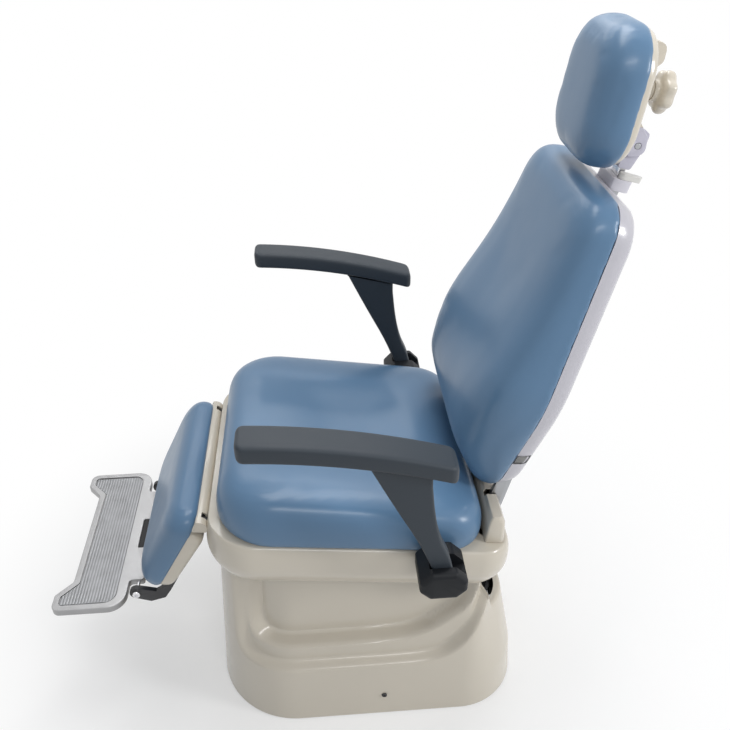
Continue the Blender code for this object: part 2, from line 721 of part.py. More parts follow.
def build_seat_frame(seat, finishes):
    """The steel seat frame, a deep plate with welded outriggers that reach out to the arm knuckles."""
    top, low = -SKIRT_LIP - GAP, frame_underside()
    body = block("seat_frame", (-FRAME_FRONT, FRAME_REAR), (-FRAME_HALF_WIDTH, FRAME_HALF_WIDTH),
                 (low, top),
                 finishes["black_steel"], seat)
    centre, _ = seat.local(ARM_PIVOT_X, ARM_PIVOT_Z)
    x = (centre - 0.5 * OUTRIGGER_LENGTH, centre + 0.5 * OUTRIGGER_LENGTH)
    up = (top - OUTRIGGER_DEPTH - 0.0005, top - 0.0005)
    tools = []
    for name, side in SIDES:
        inner = 0.5 * SKIRT_WIDTH + GAP
        bar = block("outrigger_" + name, x, sorted((side * (FRAME_HALF_WIDTH - 0.010),
                                                    side * (inner + 0.002))), up,
                    finishes["black_steel"], seat)
        flag = block("outrigger_plate_" + name, x, band(side, inner, OUTRIGGER_PLATE),
                     (up[0] - 0.001, up[0] + OUTRIGGER_PLATE_HEIGHT), finishes["black_steel"], seat)
        combine(body, bar, "UNION")
        combine(body, flag, "UNION")
        slot = block("outrigger_slot_" + name, (x[0] - GAP, x[1] + GAP),
                     sorted((side * (FRAME_HALF_WIDTH + 0.02), side * (inner + SKIRT_WALL))),
                     (up[0] - GAP, up[1] + GAP), finishes["black"], seat)
        tools.append(slot)
    return tools


def build_seat(root, lift, seat, finishes):
    """Everything that rises with the seat, apart from the hinges and the drive."""
    slots = build_seat_frame(seat, finishes)
    low = frame_underside() - GAP

    def under_frame(outline):
        """World heights just below the tilted frame."""
        return SEAM_HEIGHT + low / cos(SEAT_TILT) - outline[:, 0] * tan(SEAT_TILT)

    outside = 0.5 * TOWER_INNER - GAP
    inside = outside - COLUMN_WALL
    column_out = rounded_box(-outside, outside, outside, 0.006, 0.006, 3)
    column_in = rounded_box(-inside, inside, inside, 0.003, 0.003, 3)
    make("lift_column", (plane_z(column_out, COLUMN_BOTTOM), plane_z(column_out, under_frame(column_out)),
                         plane_z(column_in, under_frame(column_in)), plane_z(column_in, COLUMN_BOTTOM)),
         finishes["grey_steel"], lift, joined=True)
    shaft = circle(0, 0, ROD_RADIUS)
    make("lift_rod", (plane_z(shaft, ROD_BOTTOM), plane_z(shaft, under_frame(shaft))), finishes["chrome"],
         lift)

    board = rounded_box(-OPENING_FRONT + BOARD_MARGIN, BOARD_REAR, OPENING_HALF_WIDTH - BOARD_MARGIN, 0.03,
                        0.02, 3)
    make("seat_board", (plane_z(board, -SKIRT_LIP), plane_z(board, -GAP)), finishes["wood"], seat)

    front = SKIRT_FRONT - CUSHION_FRONT_MARGIN
    outline = rounded_box(-front, CUSHION_REAR, 0.5 * SKIRT_WIDTH - CUSHION_SIDE_MARGIN,
                          CUSHION_FRONT_RADIUS,
                          CUSHION_REAR_RADIUS)

    def thickness(points):
        share = (points[:, 0] + front) / (CUSHION_REAR + front)
        return 1.0 + share * (CUSHION_REAR_THICKNESS / CUSHION_FRONT_THICKNESS - 1.0)

    full = CUSHION_FRONT_THICKNESS
    layers = [(0.016, GAP), (0.004, 0.08 * full), (0.0, 0.28 * full), (0.002, 0.52 * full),
              (0.010, 0.75 * full), (0.026, 0.905 * full), (0.054, 0.975 * full), (0.110, full)]
    pad("seat_cushion", outline, layers, plane_z, finishes["upholstery"], seat, thickness)
    return slots


def fixed_plate(side):
    """The band of a hinge plate that stays with the seat, just outside the moving one."""
    return band(side, MOVING_PLATE_INSIDE + MOVING_PLATE_THICKNESS + PLATE_PLAY, FIXED_PLATE_THICKNESS)


def build_back_hinge(seat, back, finishes):
    """The brackets, shaft and cover of the recline hinge. Returns the slots that its arms pass through."""
    pivot = seat.local(BACK_PIVOT_X, BACK_PIVOT_Z)
    low = frame_underside() - GAP
    shaft_end = MOVING_PLATE_INSIDE + MOVING_PLATE_THICKNESS + PLATE_PLAY + FIXED_PLATE_THICKNESS
    rod("back_shaft", 0, 0, BACK_SHAFT_RADIUS, -shaft_end, shaft_end, finishes["grey_steel"], back)
    hole = rod("back_shaft_hole", 0, 0, bore(BACK_SHAFT_RADIUS), -shaft_end - GAP, shaft_end + GAP,
               finishes["black"], back)
    for name, side in SIDES:
        eye = circle(*pivot, BACK_EYE_RADIUS, 8, radians(160), radians(-220))
        outline = np.vstack((((FRAME_REAR - 0.085, low), (FRAME_REAR, low),
                              (FRAME_REAR + 0.004, low + 0.004)), eye,
                             ((FRAME_REAR - 0.030, low - 0.032), (FRAME_REAR - 0.085, low - 0.032))))
        bracket = plate("back_bracket_" + name, outline, *fixed_plate(side), finishes["black_steel"], seat)
        combine(bracket, hole, "DIFFERENCE")

    reach_low = hypot(HINGE_COVER_FRONT + 0.5 * HINGE_COVER_DEPTH - pivot[0], 0.0)
    top = pivot[1] + (HINGE_COVER_REACH ** 2 - reach_low ** 2) ** 0.5
    rings = []
    for wall in (0.0, HINGE_COVER_WALL):
        stack = []
        for share in (0.0, 0.80, 0.94, 1.0):
            round_in = HINGE_COVER_RADIUS * 0.5 * smooth((share - 0.80) / 0.20)
            up = GAP + share * (top - wall - GAP)
            front = HINGE_COVER_FRONT + wall + round_in
            rear = HINGE_COVER_FRONT + HINGE_COVER_DEPTH - HINGE_COVER_LEAN * share - wall - round_in
            half = HINGE_COVER_HALF_WIDTH - wall - round_in
            stack.append(plane_z(rounded_box(front, rear, half, 0.004, HINGE_COVER_RADIUS - wall, 4), up))
        rings.append(stack)
    cover = make("hinge_cover", rings[0][::-1] + rings[1], finishes["cream"], seat)
    slots = []
    for name, side in SIDES:
        y = band(side, MOVING_PLATE_INSIDE - SLOT_PLAY, MOVING_PLATE_THICKNESS + 2 * SLOT_PLAY)
        slot = block("back_slot_" + name, (HINGE_COVER_FRONT + HINGE_COVER_WALL + GAP, SKIRT_REAR + 0.02),
                     y,
                     (pivot[1] - 0.020, top + 0.02), finishes["black"], seat)
        combine(cover, slot, "DIFFERENCE")
        slots.append(slot)
        y = fixed_plate(side)
        x = (pivot[0] - BACK_EYE_RADIUS - SLOT_PLAY, pivot[0] + BACK_EYE_RADIUS + SLOT_PLAY)
        slots.append(block("bracket_slot_" + name, x, (y[0] - SLOT_PLAY, y[1] + SLOT_PLAY),
                           (-2 * SKIRT_LIP, SKIRT_LIP), finishes["black"], seat))
    return slots


def build_back(back, finishes):
    """The backrest: hubs, frame plate, shell and cushion."""
    lever_dir = turn(0.0, -1.0, -LEVER_REST - BACK_TILT)
    tip = (LEVER_REACH * lever_dir[0], LEVER_REACH * lever_dir[1])
    slot_ends = [(tip[0] + k * 0.5 * LEVER_SLOT_LENGTH * lever_dir[0],
                  tip[1] + k * 0.5 * LEVER_SLOT_LENGTH * lever_dir[1])
                 for k in (-1.0, 1.0)]
    frame_x = (-BACK_SEAM + GAP, -BACK_SEAM + GAP + BACK_FRAME_THICKNESS)
    half = MOVING_PLATE_INSIDE - GAP
    block("back_frame", frame_x, (-half, half), (BACK_FRAME_BOTTOM, BACK_FRAME_TOP),
          finishes["black_steel"], back)
    arm_x = -BACK_SEAM + 0.5 * BACK_FRAME_THICKNESS + BACK_ARM_RADIUS
    shaft_end = MOVING_PLATE_INSIDE + MOVING_PLATE_THICKNESS + 0.01
    hole = rod("hub_hole", 0, 0, bore(BACK_SHAFT_RADIUS), -shaft_end, shaft_end, finishes["black"], back)
    for name, side in SIDES:
        y = band(side, MOVING_PLATE_INSIDE, MOVING_PLATE_THICKNESS)
        arm = tapered_bar((0, 0), BACK_EYE_RADIUS, (arm_x, BACK_ARM_TOP), BACK_ARM_RADIUS)
        hub = plate("back_hub_" + name, arm, *y, finishes["grey_steel"], back)
        inner = (y[0] + WELD_STEP, y[1] - WELD_STEP)
        lever = plate("back_lever_" + name, tapered_bar((0, 0), BACK_EYE_RADIUS, tip, LEVER_TIP_RADIUS),
                      *inner, finishes["grey_steel"], back)
        slot_radius = LEVER_PIN_RADIUS + LEVER_SLOT_PLAY
        slot = plate("back_lever_slot_" + name,
                     tapered_bar(slot_ends[0], slot_radius, slot_ends[1], slot_radius),
                     y[0] - 0.01, y[1] + 0.01, finishes["black"], back)
        combine(hub, lever, "UNION")
        combine(hub, slot, "DIFFERENCE")
        combine(hub, hole, "DIFFERENCE")

    corners = ((-BACK_BOTTOM_HALF_WIDTH, BACK_BOTTOM), (BACK_BOTTOM_HALF_WIDTH, BACK_BOTTOM),
               (BACK_HIP_HALF_WIDTH, BACK_HIP), (BACK_TOP_HALF_WIDTH, BACK_TOP),
               (-BACK_TOP_HALF_WIDTH, BACK_TOP), (-BACK_HIP_HALF_WIDTH, BACK_HIP))
    radii = (BACK_BOTTOM_RADIUS, BACK_BOTTOM_RADIUS, BACK_HIP_RADIUS, BACK_TOP_RADIUS, BACK_TOP_RADIUS,
             BACK_HIP_RADIUS)
    outline = refine(rounded_polygon(corners, radii, 4), 0.070)
    full = BACK_THICKNESS + LUMBAR_SWELL

    def swell(points):
        bulge = np.exp(-((points[:, 1] - LUMBAR_CENTRE) / LUMBAR_SPREAD) ** 2)
        tuck = 1.0 - BACK_TUCK * (1.0 - smooth((points[:, 1] - BACK_BOTTOM) / BACK_TUCK_RUN))
        return tuck * (BACK_THICKNESS + LUMBAR_SWELL * bulge) / full

    def forward(points, distance):
        return plane_x(points, -BACK_SEAM - distance)

    layers = [(0.004, GAP), (0.001, 0.10 * full), (0.0, 0.34 * full), (0.003, 0.58 * full),
              (0.010, 0.79 * full), (0.024, 0.92 * full), (0.050, 0.98 * full), (0.100, full)]
    pad("back_cushion", outline, layers, forward, finishes["upholstery"], back, swell)

    def rearward(points, distance):
        return plane_x(points, -BACK_SEAM + distance)

    edge, crown, wall = BACK_SHELL_EDGE, BACK_SHELL_CROWN, BACK_SHELL_WALL
    margin = BACK_SHELL_MARGIN
    rise = [(margin, GAP), (margin + 0.003, 0.45 * edge), (margin + 0.012, 0.9 * edge),
            (margin + 0.045, edge + 0.35 * (crown - edge)), (margin + 0.085, edge + 0.75 * (crown - edge)),
            (margin + 0.130, crown)]
    hollow = [(inset + wall, depth - wall * (depth > edge * 0.5)) for inset, depth in rise]
    shell = pad("back_shell", outline, rise[::-1] + hollow, rearward, finishes["white"], back)
    for name, side in SIDES:
        y = band(side, MOVING_PLATE_INSIDE - SLOT_PLAY, MOVING_PLATE_THICKNESS + 2 * SLOT_PLAY)
        notch = block("hub_notch_" + name, (-BACK_SEAM - 0.01, BACK_SHELL_CROWN), y,
                      (BACK_BOTTOM - 0.02, BACK_BOTTOM + 0.105), finishes["black"], back)
        combine(shell, notch, "DIFFERENCE")
    return shell


def rectangle(x0, x1, half_width, radius):
    return rounded_box(x0, x1, half_width, radius, radius, 2)


def build_headrest_guide(back, shell, finishes):
    """The guide tube and collar on the back, the bar that slides in them, and the bar's bracket."""
    bar = rectangle(BAR_OFFSET - 0.5 * BAR_DEPTH, BAR_OFFSET + 0.5 * BAR_DEPTH, 0.5 * BAR_WIDTH, 0.002)

    def around(deep, wide):
        return rectangle(BAR_OFFSET - 0.5 * BAR_DEPTH - deep, BAR_OFFSET + 0.5 * BAR_DEPTH + deep,
                         0.5 * BAR_WIDTH + wide, 0.002 + 0.5 * deep)

    wall = GAP + GUIDE_WALL
    hole, tube, block_outline = around(GAP, GAP), around(wall, wall), around(COLLAR_DEEP, COLLAR_WIDE)
    make("headrest_guide", (plane_z(tube, GUIDE_BOTTOM), plane_z(tube, GUIDE_TOP), plane_z(hole, GUIDE_TOP),
                            plane_z(hole, GUIDE_BOTTOM)), finishes["grey_steel"], back, joined=True)
    collar_low, collar_top = GUIDE_TOP + GAP, GUIDE_TOP + GAP + COLLAR_HEIGHT
    collar = make("headrest_collar", (plane_z(block_outline, collar_low),
                                      plane_z(block_outline, collar_top),
                                      plane_z(hole, collar_top), plane_z(hole, collar_low)),
                  finishes["lilac"], back, joined=True)
    sleeve = around(wall + GAP, wall + GAP)
    cutter = make("guide_cutout", (plane_z(sleeve, GUIDE_BOTTOM - 0.02), plane_z(sleeve, GUIDE_TOP + 0.05)),
                  finishes["black"], back)
    combine(shell, cutter, "DIFFERENCE")
    room = around(COLLAR_DEEP + GAP, COLLAR_WIDE + GAP)
    above = collar_top + COLLAR_HEIGHT
    pocket = make("collar_pocket", (plane_z(room, collar_low - GAP), plane_z(room, above)), finishes["black"],
                  back)
    combine(shell, pocket, "DIFFERENCE")
    return bar, collar, collar_top


def build_headrest(back, slide, head, knob_frame, lever_frame, shell, finishes):
    """The headrest on its sliding bar, with its lock lever and tilt knob."""
    bar, collar, collar_top = build_headrest_guide(back, shell, finishes)
    bracket_low = GUIDE_TOP + HEAD_BRACKET_ABOVE_GUIDE
    make("headrest_bar", (plane_z(bar, BAR_BOTTOM), plane_z(bar, bracket_low - GAP)),
         finishes["chrome"], slide)

    low = collar_top + GAP
    outline = tapered_bar((0, 0), LOCK_LEVER_BOSS_RADIUS, (LOCK_LEVER_LENGTH, 0), LOCK_LEVER_TIP_RADIUS)
    lever = make("lock_lever", (plane_z(outline, low), plane_z(outline, low + LOCK_LEVER_HEIGHT)),
                 finishes["cream"],
                 lever_frame)
    stub = circle(0, 0, LOCK_LEVER_STUB_RADIUS)
    tip = low - LOCK_LEVER_STUB_LENGTH
    stud = make("lock_lever_stub", (plane_z(stub, tip), plane_z(stub, low + 0.5 * LOCK_LEVER_HEIGHT)),
                finishes["cream"], lever_frame)
    combine(lever, stud, "UNION")
    socket = circle(0, 0, bore(LOCK_LEVER_STUB_RADIUS))
    drill = make("lock_lever_socket", (plane_z(socket, tip - GAP),
                                       plane_z(socket, low + LOCK_LEVER_HEIGHT)),
                 finishes["black"], lever_frame)
    combine(collar, drill, "DIFFERENCE")

    half = 0.5 * HEAD_BRACKET_WIDTH
    pivot_x, pivot_z = BAR_OFFSET, GUIDE_TOP + HEAD_PIVOT_ABOVE_GUIDE
    profile = rounded_polygon(((pivot_x - 0.013, bracket_low), (pivot_x + 0.009, bracket_low),
                               (pivot_x + 0.017, pivot_z), (pivot_x + 0.015, pivot_z + 0.021),
                               (pivot_x + 0.002, pivot_z + 0.027), (pivot_x - 0.012, pivot_z + 0.018)),
                              (0.004, 0.005, 0.02, 0.006, 0.006, 0.008), 3)
    bracket = plate("headrest_bracket", profile, -half, half, finishes["lilac"], slide)
    ear_end = half + GAP + HEAD_EAR_THICKNESS
    rod("tilt_pin", 0, 0, HEAD_PIN_RADIUS, -ear_end, ear_end, finishes["grey_steel"], head)
    hole = rod("tilt_pin_hole", 0, 0, bore(HEAD_PIN_RADIUS), -ear_end - 0.01, ear_end + 0.01,
               finishes["black"], head)
    combine(bracket, hole, "DIFFERENCE")

    corners = ((-HEAD_HALF_WIDTH, HEAD_BOTTOM), (HEAD_HALF_WIDTH, HEAD_BOTTOM),
               (HEAD_TOP_HALF_WIDTH, HEAD_TOP),
               (-HEAD_TOP_HALF_WIDTH, HEAD_TOP))
    outline = rounded_polygon(corners, [HEAD_RADIUS] * 4)
    full = HEAD_THICKNESS
    layers = [(0.004, GAP), (0.001, 0.10 * full), (0.0, 0.34 * full), (0.003, 0.60 * full),
              (0.010, 0.81 * full), (0.024, 0.94 * full), (0.046, 0.99 * full), (0.075, full)]
    pad("headrest_cushion", outline, layers, lambda p, d: plane_x(p, -HEAD_SEAM - d),
        finishes["upholstery"], head)
    depth, wall, margin = HEAD_SHELL_DEPTH, HEAD_SHELL_WALL, HEAD_SHELL_MARGIN
    rise = [(margin, GAP), (margin + 0.002, 0.5 * depth), (margin + 0.008, 0.85 * depth),
            (margin + 0.022, depth)]
    hollow = [(inset + wall, d - wall * (d > 0.4 * depth)) for inset, d in rise]
    pad("headrest_shell", outline, rise[::-1] + hollow, lambda p, d: plane_x(p, -HEAD_SEAM + d),
        finishes["cream"],
        head)

    back_face = -HEAD_SEAM + HEAD_SHELL_DEPTH + GAP
    web = -0.016
    side_view = rounded_polygon(((back_face, 0.004), (-0.010, -0.020), (0.016, -0.012), (0.012, 0.016),
                                 (web, 0.046), (web, 0.118), (-0.004, 0.130), (-0.006, 0.156), (back_face,
                                                                                                0.160)),
                                (0.004, 0.010, 0.012, 0.012, 0.006, 0.006, 0.010, 0.012, 0.004), 3)
    mount = plate("headrest_mount", side_view, -ear_end, ear_end, finishes["cream"], head)
    neck = circle(0, KNOB_UP, KNOB_NECK_RADIUS)
    stub = make("knob_neck", (plane_x(neck, web - 0.004), plane_x(neck, KNOB_NECK_END)), finishes["cream"],
                head)
    combine(mount, stub, "UNION")
    slot = block("bracket_slot", (back_face + 0.004, 0.05), (-half - GAP, half + GAP), (-0.06, 0.0335),
                 finishes["black"], head)
    combine(mount, slot, "DIFFERENCE")
    combine(mount, hole, "DIFFERENCE")
    socket = circle(0, KNOB_UP, bore(KNOB_STUD_RADIUS))
    drill = make("knob_socket", (plane_x(socket, KNOB_NECK_END - KNOB_STUD_LENGTH - GAP),
                                 plane_x(socket, KNOB_NECK_END + 0.01)), finishes["black"], head)
    combine(mount, drill, "DIFFERENCE")
    build_knob(knob_frame, finishes)


def build_knob(knob_frame, finishes):
    """The lobed tilt knob with its stud, turning about the rearward axis."""
    angles = 2 * pi * np.arange(4 * KNOB_LOBES) / (4 * KNOB_LOBES)
    lobed = 1.0 + KNOB_LOBE / KNOB_RADIUS * np.cos(KNOB_LOBES * angles)

    def ring(radius, x, lobe):
        share = 1.0 + lobe * (lobed - 1.0)
        return plane_x(np.column_stack((radius * share * np.cos(angles), radius * share * np.sin(angles))),
                       x)

    near, far = KNOB_NECK_END + GAP, KNOB_NECK_END + GAP + KNOB_THICKNESS
    stud_tip = KNOB_NECK_END - KNOB_STUD_LENGTH
    rings = [ring(KNOB_STUD_RADIUS, stud_tip, 0.0), ring(KNOB_STUD_RADIUS, near, 0.0),
             ring(0.5 * KNOB_RADIUS, near, 0.0), ring(0.5 * KNOB_RADIUS, near + 0.25 * KNOB_THICKNESS, 0.0),
             ring(0.85 * KNOB_RADIUS, near + 0.32 * KNOB_THICKNESS, 1.0),
             ring(KNOB_RADIUS, near + 0.50 * KNOB_THICKNESS, 1.0),
             ring(KNOB_RADIUS, near + 0.78 * KNOB_THICKNESS, 1.0),
             ring(0.82 * KNOB_RADIUS, near + 0.96 * KNOB_THICKNESS, 0.8), ring(0.5 * KNOB_RADIUS, far, 0.0)]
    make("tilt_knob", rings, finishes["cream"], knob_frame)


def lever_pin(seat):
    """Where the drive rods are pinned to the back levers at rest, in the seat frame."""
    x, z = BACK_PIVOT_X + LEVER_REACH * sin(LEVER_REST), BACK_PIVOT_Z - LEVER_REACH * cos(LEVER_REST)
    return seat.local(x, z)


def rod_travel():
    """How far the drive rods slide forward, along the seat, as the back reclines."""
    rest = LEVER_REST + SEAT_TILT
    return ROD_TRAVEL_SHARE * LEVER_REACH * cos(rest) * (tan(rest) + tan(RECLINE_RANGE - rest))


def leg_lever_reach():
    """The leg-rest lever's length that gives the leg-rest its whole swing over the rods' travel."""
    rest = LEG_LEVER_REST + SEAT_TILT
    return rod_travel() / cos(rest) / (tan(rest) + tan(LEG_RANGE - rest))


def build_drive(seat, finishes):
    """The recline actuator with its rod on the left, and the link rod to the leg-rest on the right."""
    pin_x, pin_up = lever_pin(seat)
    inner = MOVING_PLATE_INSIDE - GAP + WELD_STEP
    axis_y = -(inner - ACTUATOR_TUBE_RADIUS - 0.004)
    body_radius = frame_underside() - GAP - pin_up
    front = -ACTUATOR_FRONT
    waist, mouth = front + ACTUATOR_BODY_LENGTH, front + ACTUATOR_BODY_LENGTH + ACTUATOR_TUBE_LENGTH
    rings = [plane_x(circle(axis_y, pin_up, radius), x) for radius, x in (
        (body_radius, front), (body_radius, waist), (ACTUATOR_TUBE_RADIUS, waist), (ACTUATOR_TUBE_RADIUS,
                                                                                    mouth),
        (bore(ACTUATOR_ROD_RADIUS), mouth), (bore(ACTUATOR_ROD_RADIUS), mouth - ACTUATOR_BORE_DEPTH))]
    make("back_actuator", rings, finishes["black"], seat)

    rings = [plane_x(circle(axis_y, pin_up, ACTUATOR_ROD_RADIUS), x)
             for x in (pin_x - ACTUATOR_ROD_LENGTH + 0.06, pin_x + LEVER_PIN_RADIUS + 0.003)]
    piston = make("back_actuator_rod", rings, finishes["chrome"], seat)
    reach = MOVING_PLATE_INSIDE + MOVING_PLATE_THICKNESS
    stub = rod("actuator_pin", pin_x, pin_up, LEVER_PIN_RADIUS, -reach, axis_y, finishes["chrome"], seat)
    combine(piston, stub, "UNION")

    lever = leg_lever_reach()
    leg_pin = seat.local(LEG_PIVOT_X + lever * sin(LEG_LEVER_REST),
                         LEG_PIVOT_Z - lever * cos(LEG_LEVER_REST))
    bar = tapered_bar((pin_x, pin_up), LINK_HALF_DEPTH, leg_pin, LINK_HALF_DEPTH)
    link = plate("link_rod", bar, inner - LINK_THICKNESS, inner, finishes["grey_steel"], seat)
    for name, point in (("rear", (pin_x, pin_up)), ("front", leg_pin)):
        stub = rod("link_pin_" + name, *point, LEVER_PIN_RADIUS, inner - 0.5 * LINK_THICKNESS, reach,
                   finishes["grey_steel"], seat)
        combine(link, stub, "UNION")


def build_leg_rest(seat, leg, finishes):
    """The leg-rest: cushion, shell, the two side bars that carry it, its hinge and hinge cover."""
    corners = ((-LEG_BOTTOM_HALF_WIDTH, LEG_TOP - LEG_LENGTH),
               (LEG_BOTTOM_HALF_WIDTH, LEG_TOP - LEG_LENGTH),
               (LEG_TOP_HALF_WIDTH, LEG_TOP), (-LEG_TOP_HALF_WIDTH, LEG_TOP))
    outline = rounded_polygon(corners, (LEG_BOTTOM_RADIUS, LEG_BOTTOM_RADIUS, LEG_TOP_RADIUS,
                                        LEG_TOP_RADIUS))
    full = LEG_THICKNESS
    layers = [(0.003, GAP), (0.001, 0.12 * full), (0.0, 0.34 * full), (0.004, 0.60 * full),
              (0.014, 0.83 * full), (0.030, 0.955 * full), (0.060, full)]
    pad("legrest_cushion", outline, layers, lambda p, d: plane_x(p, -LEG_SEAM - d), finishes["upholstery"],
        leg)

    shell_top = -LEG_SHELL_TOP
    low = LEG_TOP - LEG_LENGTH + LEG_SHELL_MARGIN
    slope = (LEG_TOP_HALF_WIDTH - LEG_BOTTOM_HALF_WIDTH) / LEG_LENGTH
    bottom_half = LEG_BOTTOM_HALF_WIDTH - LEG_SHELL_MARGIN
    top_half = LEG_TOP_HALF_WIDTH - LEG_SHELL_MARGIN + slope * (shell_top - LEG_TOP)
    shell_outline = rounded_polygon(((-bottom_half, low), (bottom_half, low), (top_half, shell_top),
                                     (-top_half, shell_top)),
                                    (LEG_BOTTOM_RADIUS, LEG_BOTTOM_RADIUS, 0.012, 0.012), 6)
    depth, wall = LEG_SHELL_DEPTH, LEG_SHELL_WALL
    rise = [(0.0, GAP), (0.001, 0.5 * depth), (0.005, 0.85 * depth), (0.014, depth)]
    hollow = [(inset + wall, d - wall * (d > 0.4 * depth)) for inset, d in rise]

    def taper(points):
        share = (points[:, 1] - low) / (shell_top - low)
        return (LEG_SHELL_FOOT_DEPTH + share * (LEG_SHELL_DEPTH - LEG_SHELL_FOOT_DEPTH)) / LEG_SHELL_DEPTH

    shell = pad("legrest_shell", shell_outline, rise[::-1] + hollow, lambda p, d: plane_x(p, -LEG_SEAM + d),
                finishes["cream"], leg, taper)

    shaft_end = MOVING_PLATE_INSIDE + MOVING_PLATE_THICKNESS + PLATE_PLAY + FIXED_PLATE_THICKNESS
    rod("legrest_shaft", 0, 0, LEG_SHAFT_RADIUS, -shaft_end, shaft_end, finishes["grey_steel"], leg)
    hole = rod("legrest_shaft_hole", 0, 0, bore(LEG_SHAFT_RADIUS), -shaft_end - 0.01, shaft_end + 0.01,
               finishes["black"], leg)
    foot = leg.local(FOOT_HINGE_X, FOOT_HINGE_Z)
    foot_hole_end = MOVING_PLATE_INSIDE + MOVING_PLATE_THICKNESS + 0.02
    foot_hole = rod("foot_bolt_hole", *foot, bore(FOOT_BOLT_RADIUS), -foot_hole_end, foot_hole_end,
                    finishes["black"], leg)
    behind = -LEG_SEAM + LEG_SHELL_FOOT_DEPTH + GAP
    rear, foot_rear = behind + LEG_BAR_DEPTH, behind + LEG_BAR_FOOT_DEPTH
    lever = leg_lever_reach()
    lever_dir = turn(0.0, -1.0, -LEG_LEVER_REST - LEG_TILT)
    tip = (lever * lever_dir[0], lever * lever_dir[1])
    slot_ends = [(tip[0] + k * 0.5 * LEVER_SLOT_LENGTH * lever_dir[0],
                  tip[1] + k * 0.5 * LEVER_SLOT_LENGTH * lever_dir[1])
                 for k in (-1.0, 1.0)]
    for name, side in SIDES:
        y = band(side, MOVING_PLATE_INSIDE, MOVING_PLATE_THICKNESS)
        top_eye = circle(0, 0, LEG_EYE_RADIUS, 8, radians(30), radians(180))
        foot_eye = circle(*foot, FOOT_EYE_RADIUS, 8, radians(100), radians(190))
        outline = np.vstack((top_eye, ((behind, -LEG_SHELL_TOP + 0.004), (behind, low + 0.014)),
                             ((behind - 0.016, low - 0.017), (foot[0] + 0.012, low - 0.021)), foot_eye,
                             ((foot_rear - 0.024, foot[1] - 0.010), (foot_rear - 0.002, low - 0.026),
                              (foot_rear, low),
                              (rear, -LEG_SHELL_TOP - 0.006))))
        bar = plate("legrest_bar_" + name, outline, *y, finishes["black_steel"], leg)
        channel = block("legrest_channel_" + name, (behind - 0.006, 2.0 * LEG_SHELL_DEPTH),
                        (y[0] - SLOT_PLAY, y[1] + SLOT_PLAY), (low - 0.02, 0.01), finishes["black"], leg)
        combine(shell, channel, "DIFFERENCE")
        if side > 0:
            inner = (y[0] + WELD_STEP, y[1] - WELD_STEP)
            arm = plate("legrest_lever", tapered_bar((0, 0), 0.008, tip, LEVER_TIP_RADIUS), *inner,
                        finishes["black_steel"], leg)
            slot_radius = LEVER_PIN_RADIUS + LEVER_SLOT_PLAY
            slot = plate("legrest_lever_slot",
                         tapered_bar(slot_ends[0], slot_radius, slot_ends[1], slot_radius),
                         y[0] - 0.01, y[1] + 0.01, finishes["black"], leg)
            combine(bar, arm, "UNION")
            combine(bar, slot, "DIFFERENCE")
        combine(bar, hole, "DIFFERENCE")
        combine(bar, foot_hole, "DIFFERENCE")

    slots = build_leg_brackets(seat, hole, finishes)
    build_leg_hood(leg, finishes)
    return slots


def build_leg_brackets(seat, hole, finishes):
    """The fixed brackets of the leg-rest hinge. Returns the skirt slots for them and for the lever."""
    pivot = seat.local(LEG_PIVOT_X, LEG_PIVOT_Z)
    low = frame_underside() - GAP
    slots = []
    for name, side in SIDES:
        y = fixed_plate(side)
        eye = circle(*pivot, LEG_EYE_RADIUS, 8, radians(75), radians(210))
        rear = -FRAME_FRONT + 0.075
        outline = np.vstack((eye, ((-FRAME_FRONT, low - 0.022), (rear, low - 0.022), (rear, low),
                                   (-FRAME_FRONT - 0.006, low))))
        bracket = plate("legrest_bracket_" + name, outline, *y, finishes["black_steel"], seat)
        combine(bracket, hole, "DIFFERENCE")
        inside = MOVING_PLATE_INSIDE - SLOT_PLAY - (PLATE_PLAY + LINK_THICKNESS if side > 0 else 0.0)
        outside = MOVING_PLATE_INSIDE + MOVING_PLATE_THICKNESS + PLATE_PLAY
        outside += FIXED_PLATE_THICKNESS + SLOT_PLAY
        slot_y = band(side, inside, outside - inside)
        slots.append(block("legrest_slot_" + name,
                           (-SKIRT_FRONT - 0.02, -OPENING_FRONT - SKIRT_WALL - 0.006), slot_y,
                           (-SKIRT_DEPTH - 0.01,
                            pivot[1] + LEG_EYE_RADIUS + SLOT_PLAY), finishes["black"], seat))
    return slots


def build_leg_hood(leg, finishes):
    """The curved hinge cover that turns with the leg-rest, notched where the plates pass."""
    outer, inner = LEG_HOOD_INNER + LEG_HOOD_WALL, LEG_HOOD_INNER
    front = -LEG_SEAM + GAP
    foot = -LEG_SHELL_TOP + 0.002
    outline = np.vstack((((front, foot),), ((front + LEG_HOOD_WALL - GAP, foot),),
                         circle(0, 0, inner, 8, pi, -radians(170)), circle(0, 0, outer, 8, radians(10),
                                                                           radians(160))))
    hood = plate("legrest_hinge_cover", outline, -LEG_HOOD_HALF_WIDTH, LEG_HOOD_HALF_WIDTH,
                 finishes["cream"], leg)
    for name, side in SIDES:
        y = band(side, MOVING_PLATE_INSIDE - SLOT_PLAY,
                 MOVING_PLATE_THICKNESS + PLATE_PLAY + FIXED_PLATE_THICKNESS + 2 * SLOT_PLAY)
        notch = block("hood_notch_" + name, (-inner + 0.0005, 0.03), y, (-0.03, 0.03), finishes["black"],
                      leg)
        combine(hood, notch, "DIFFERENCE")


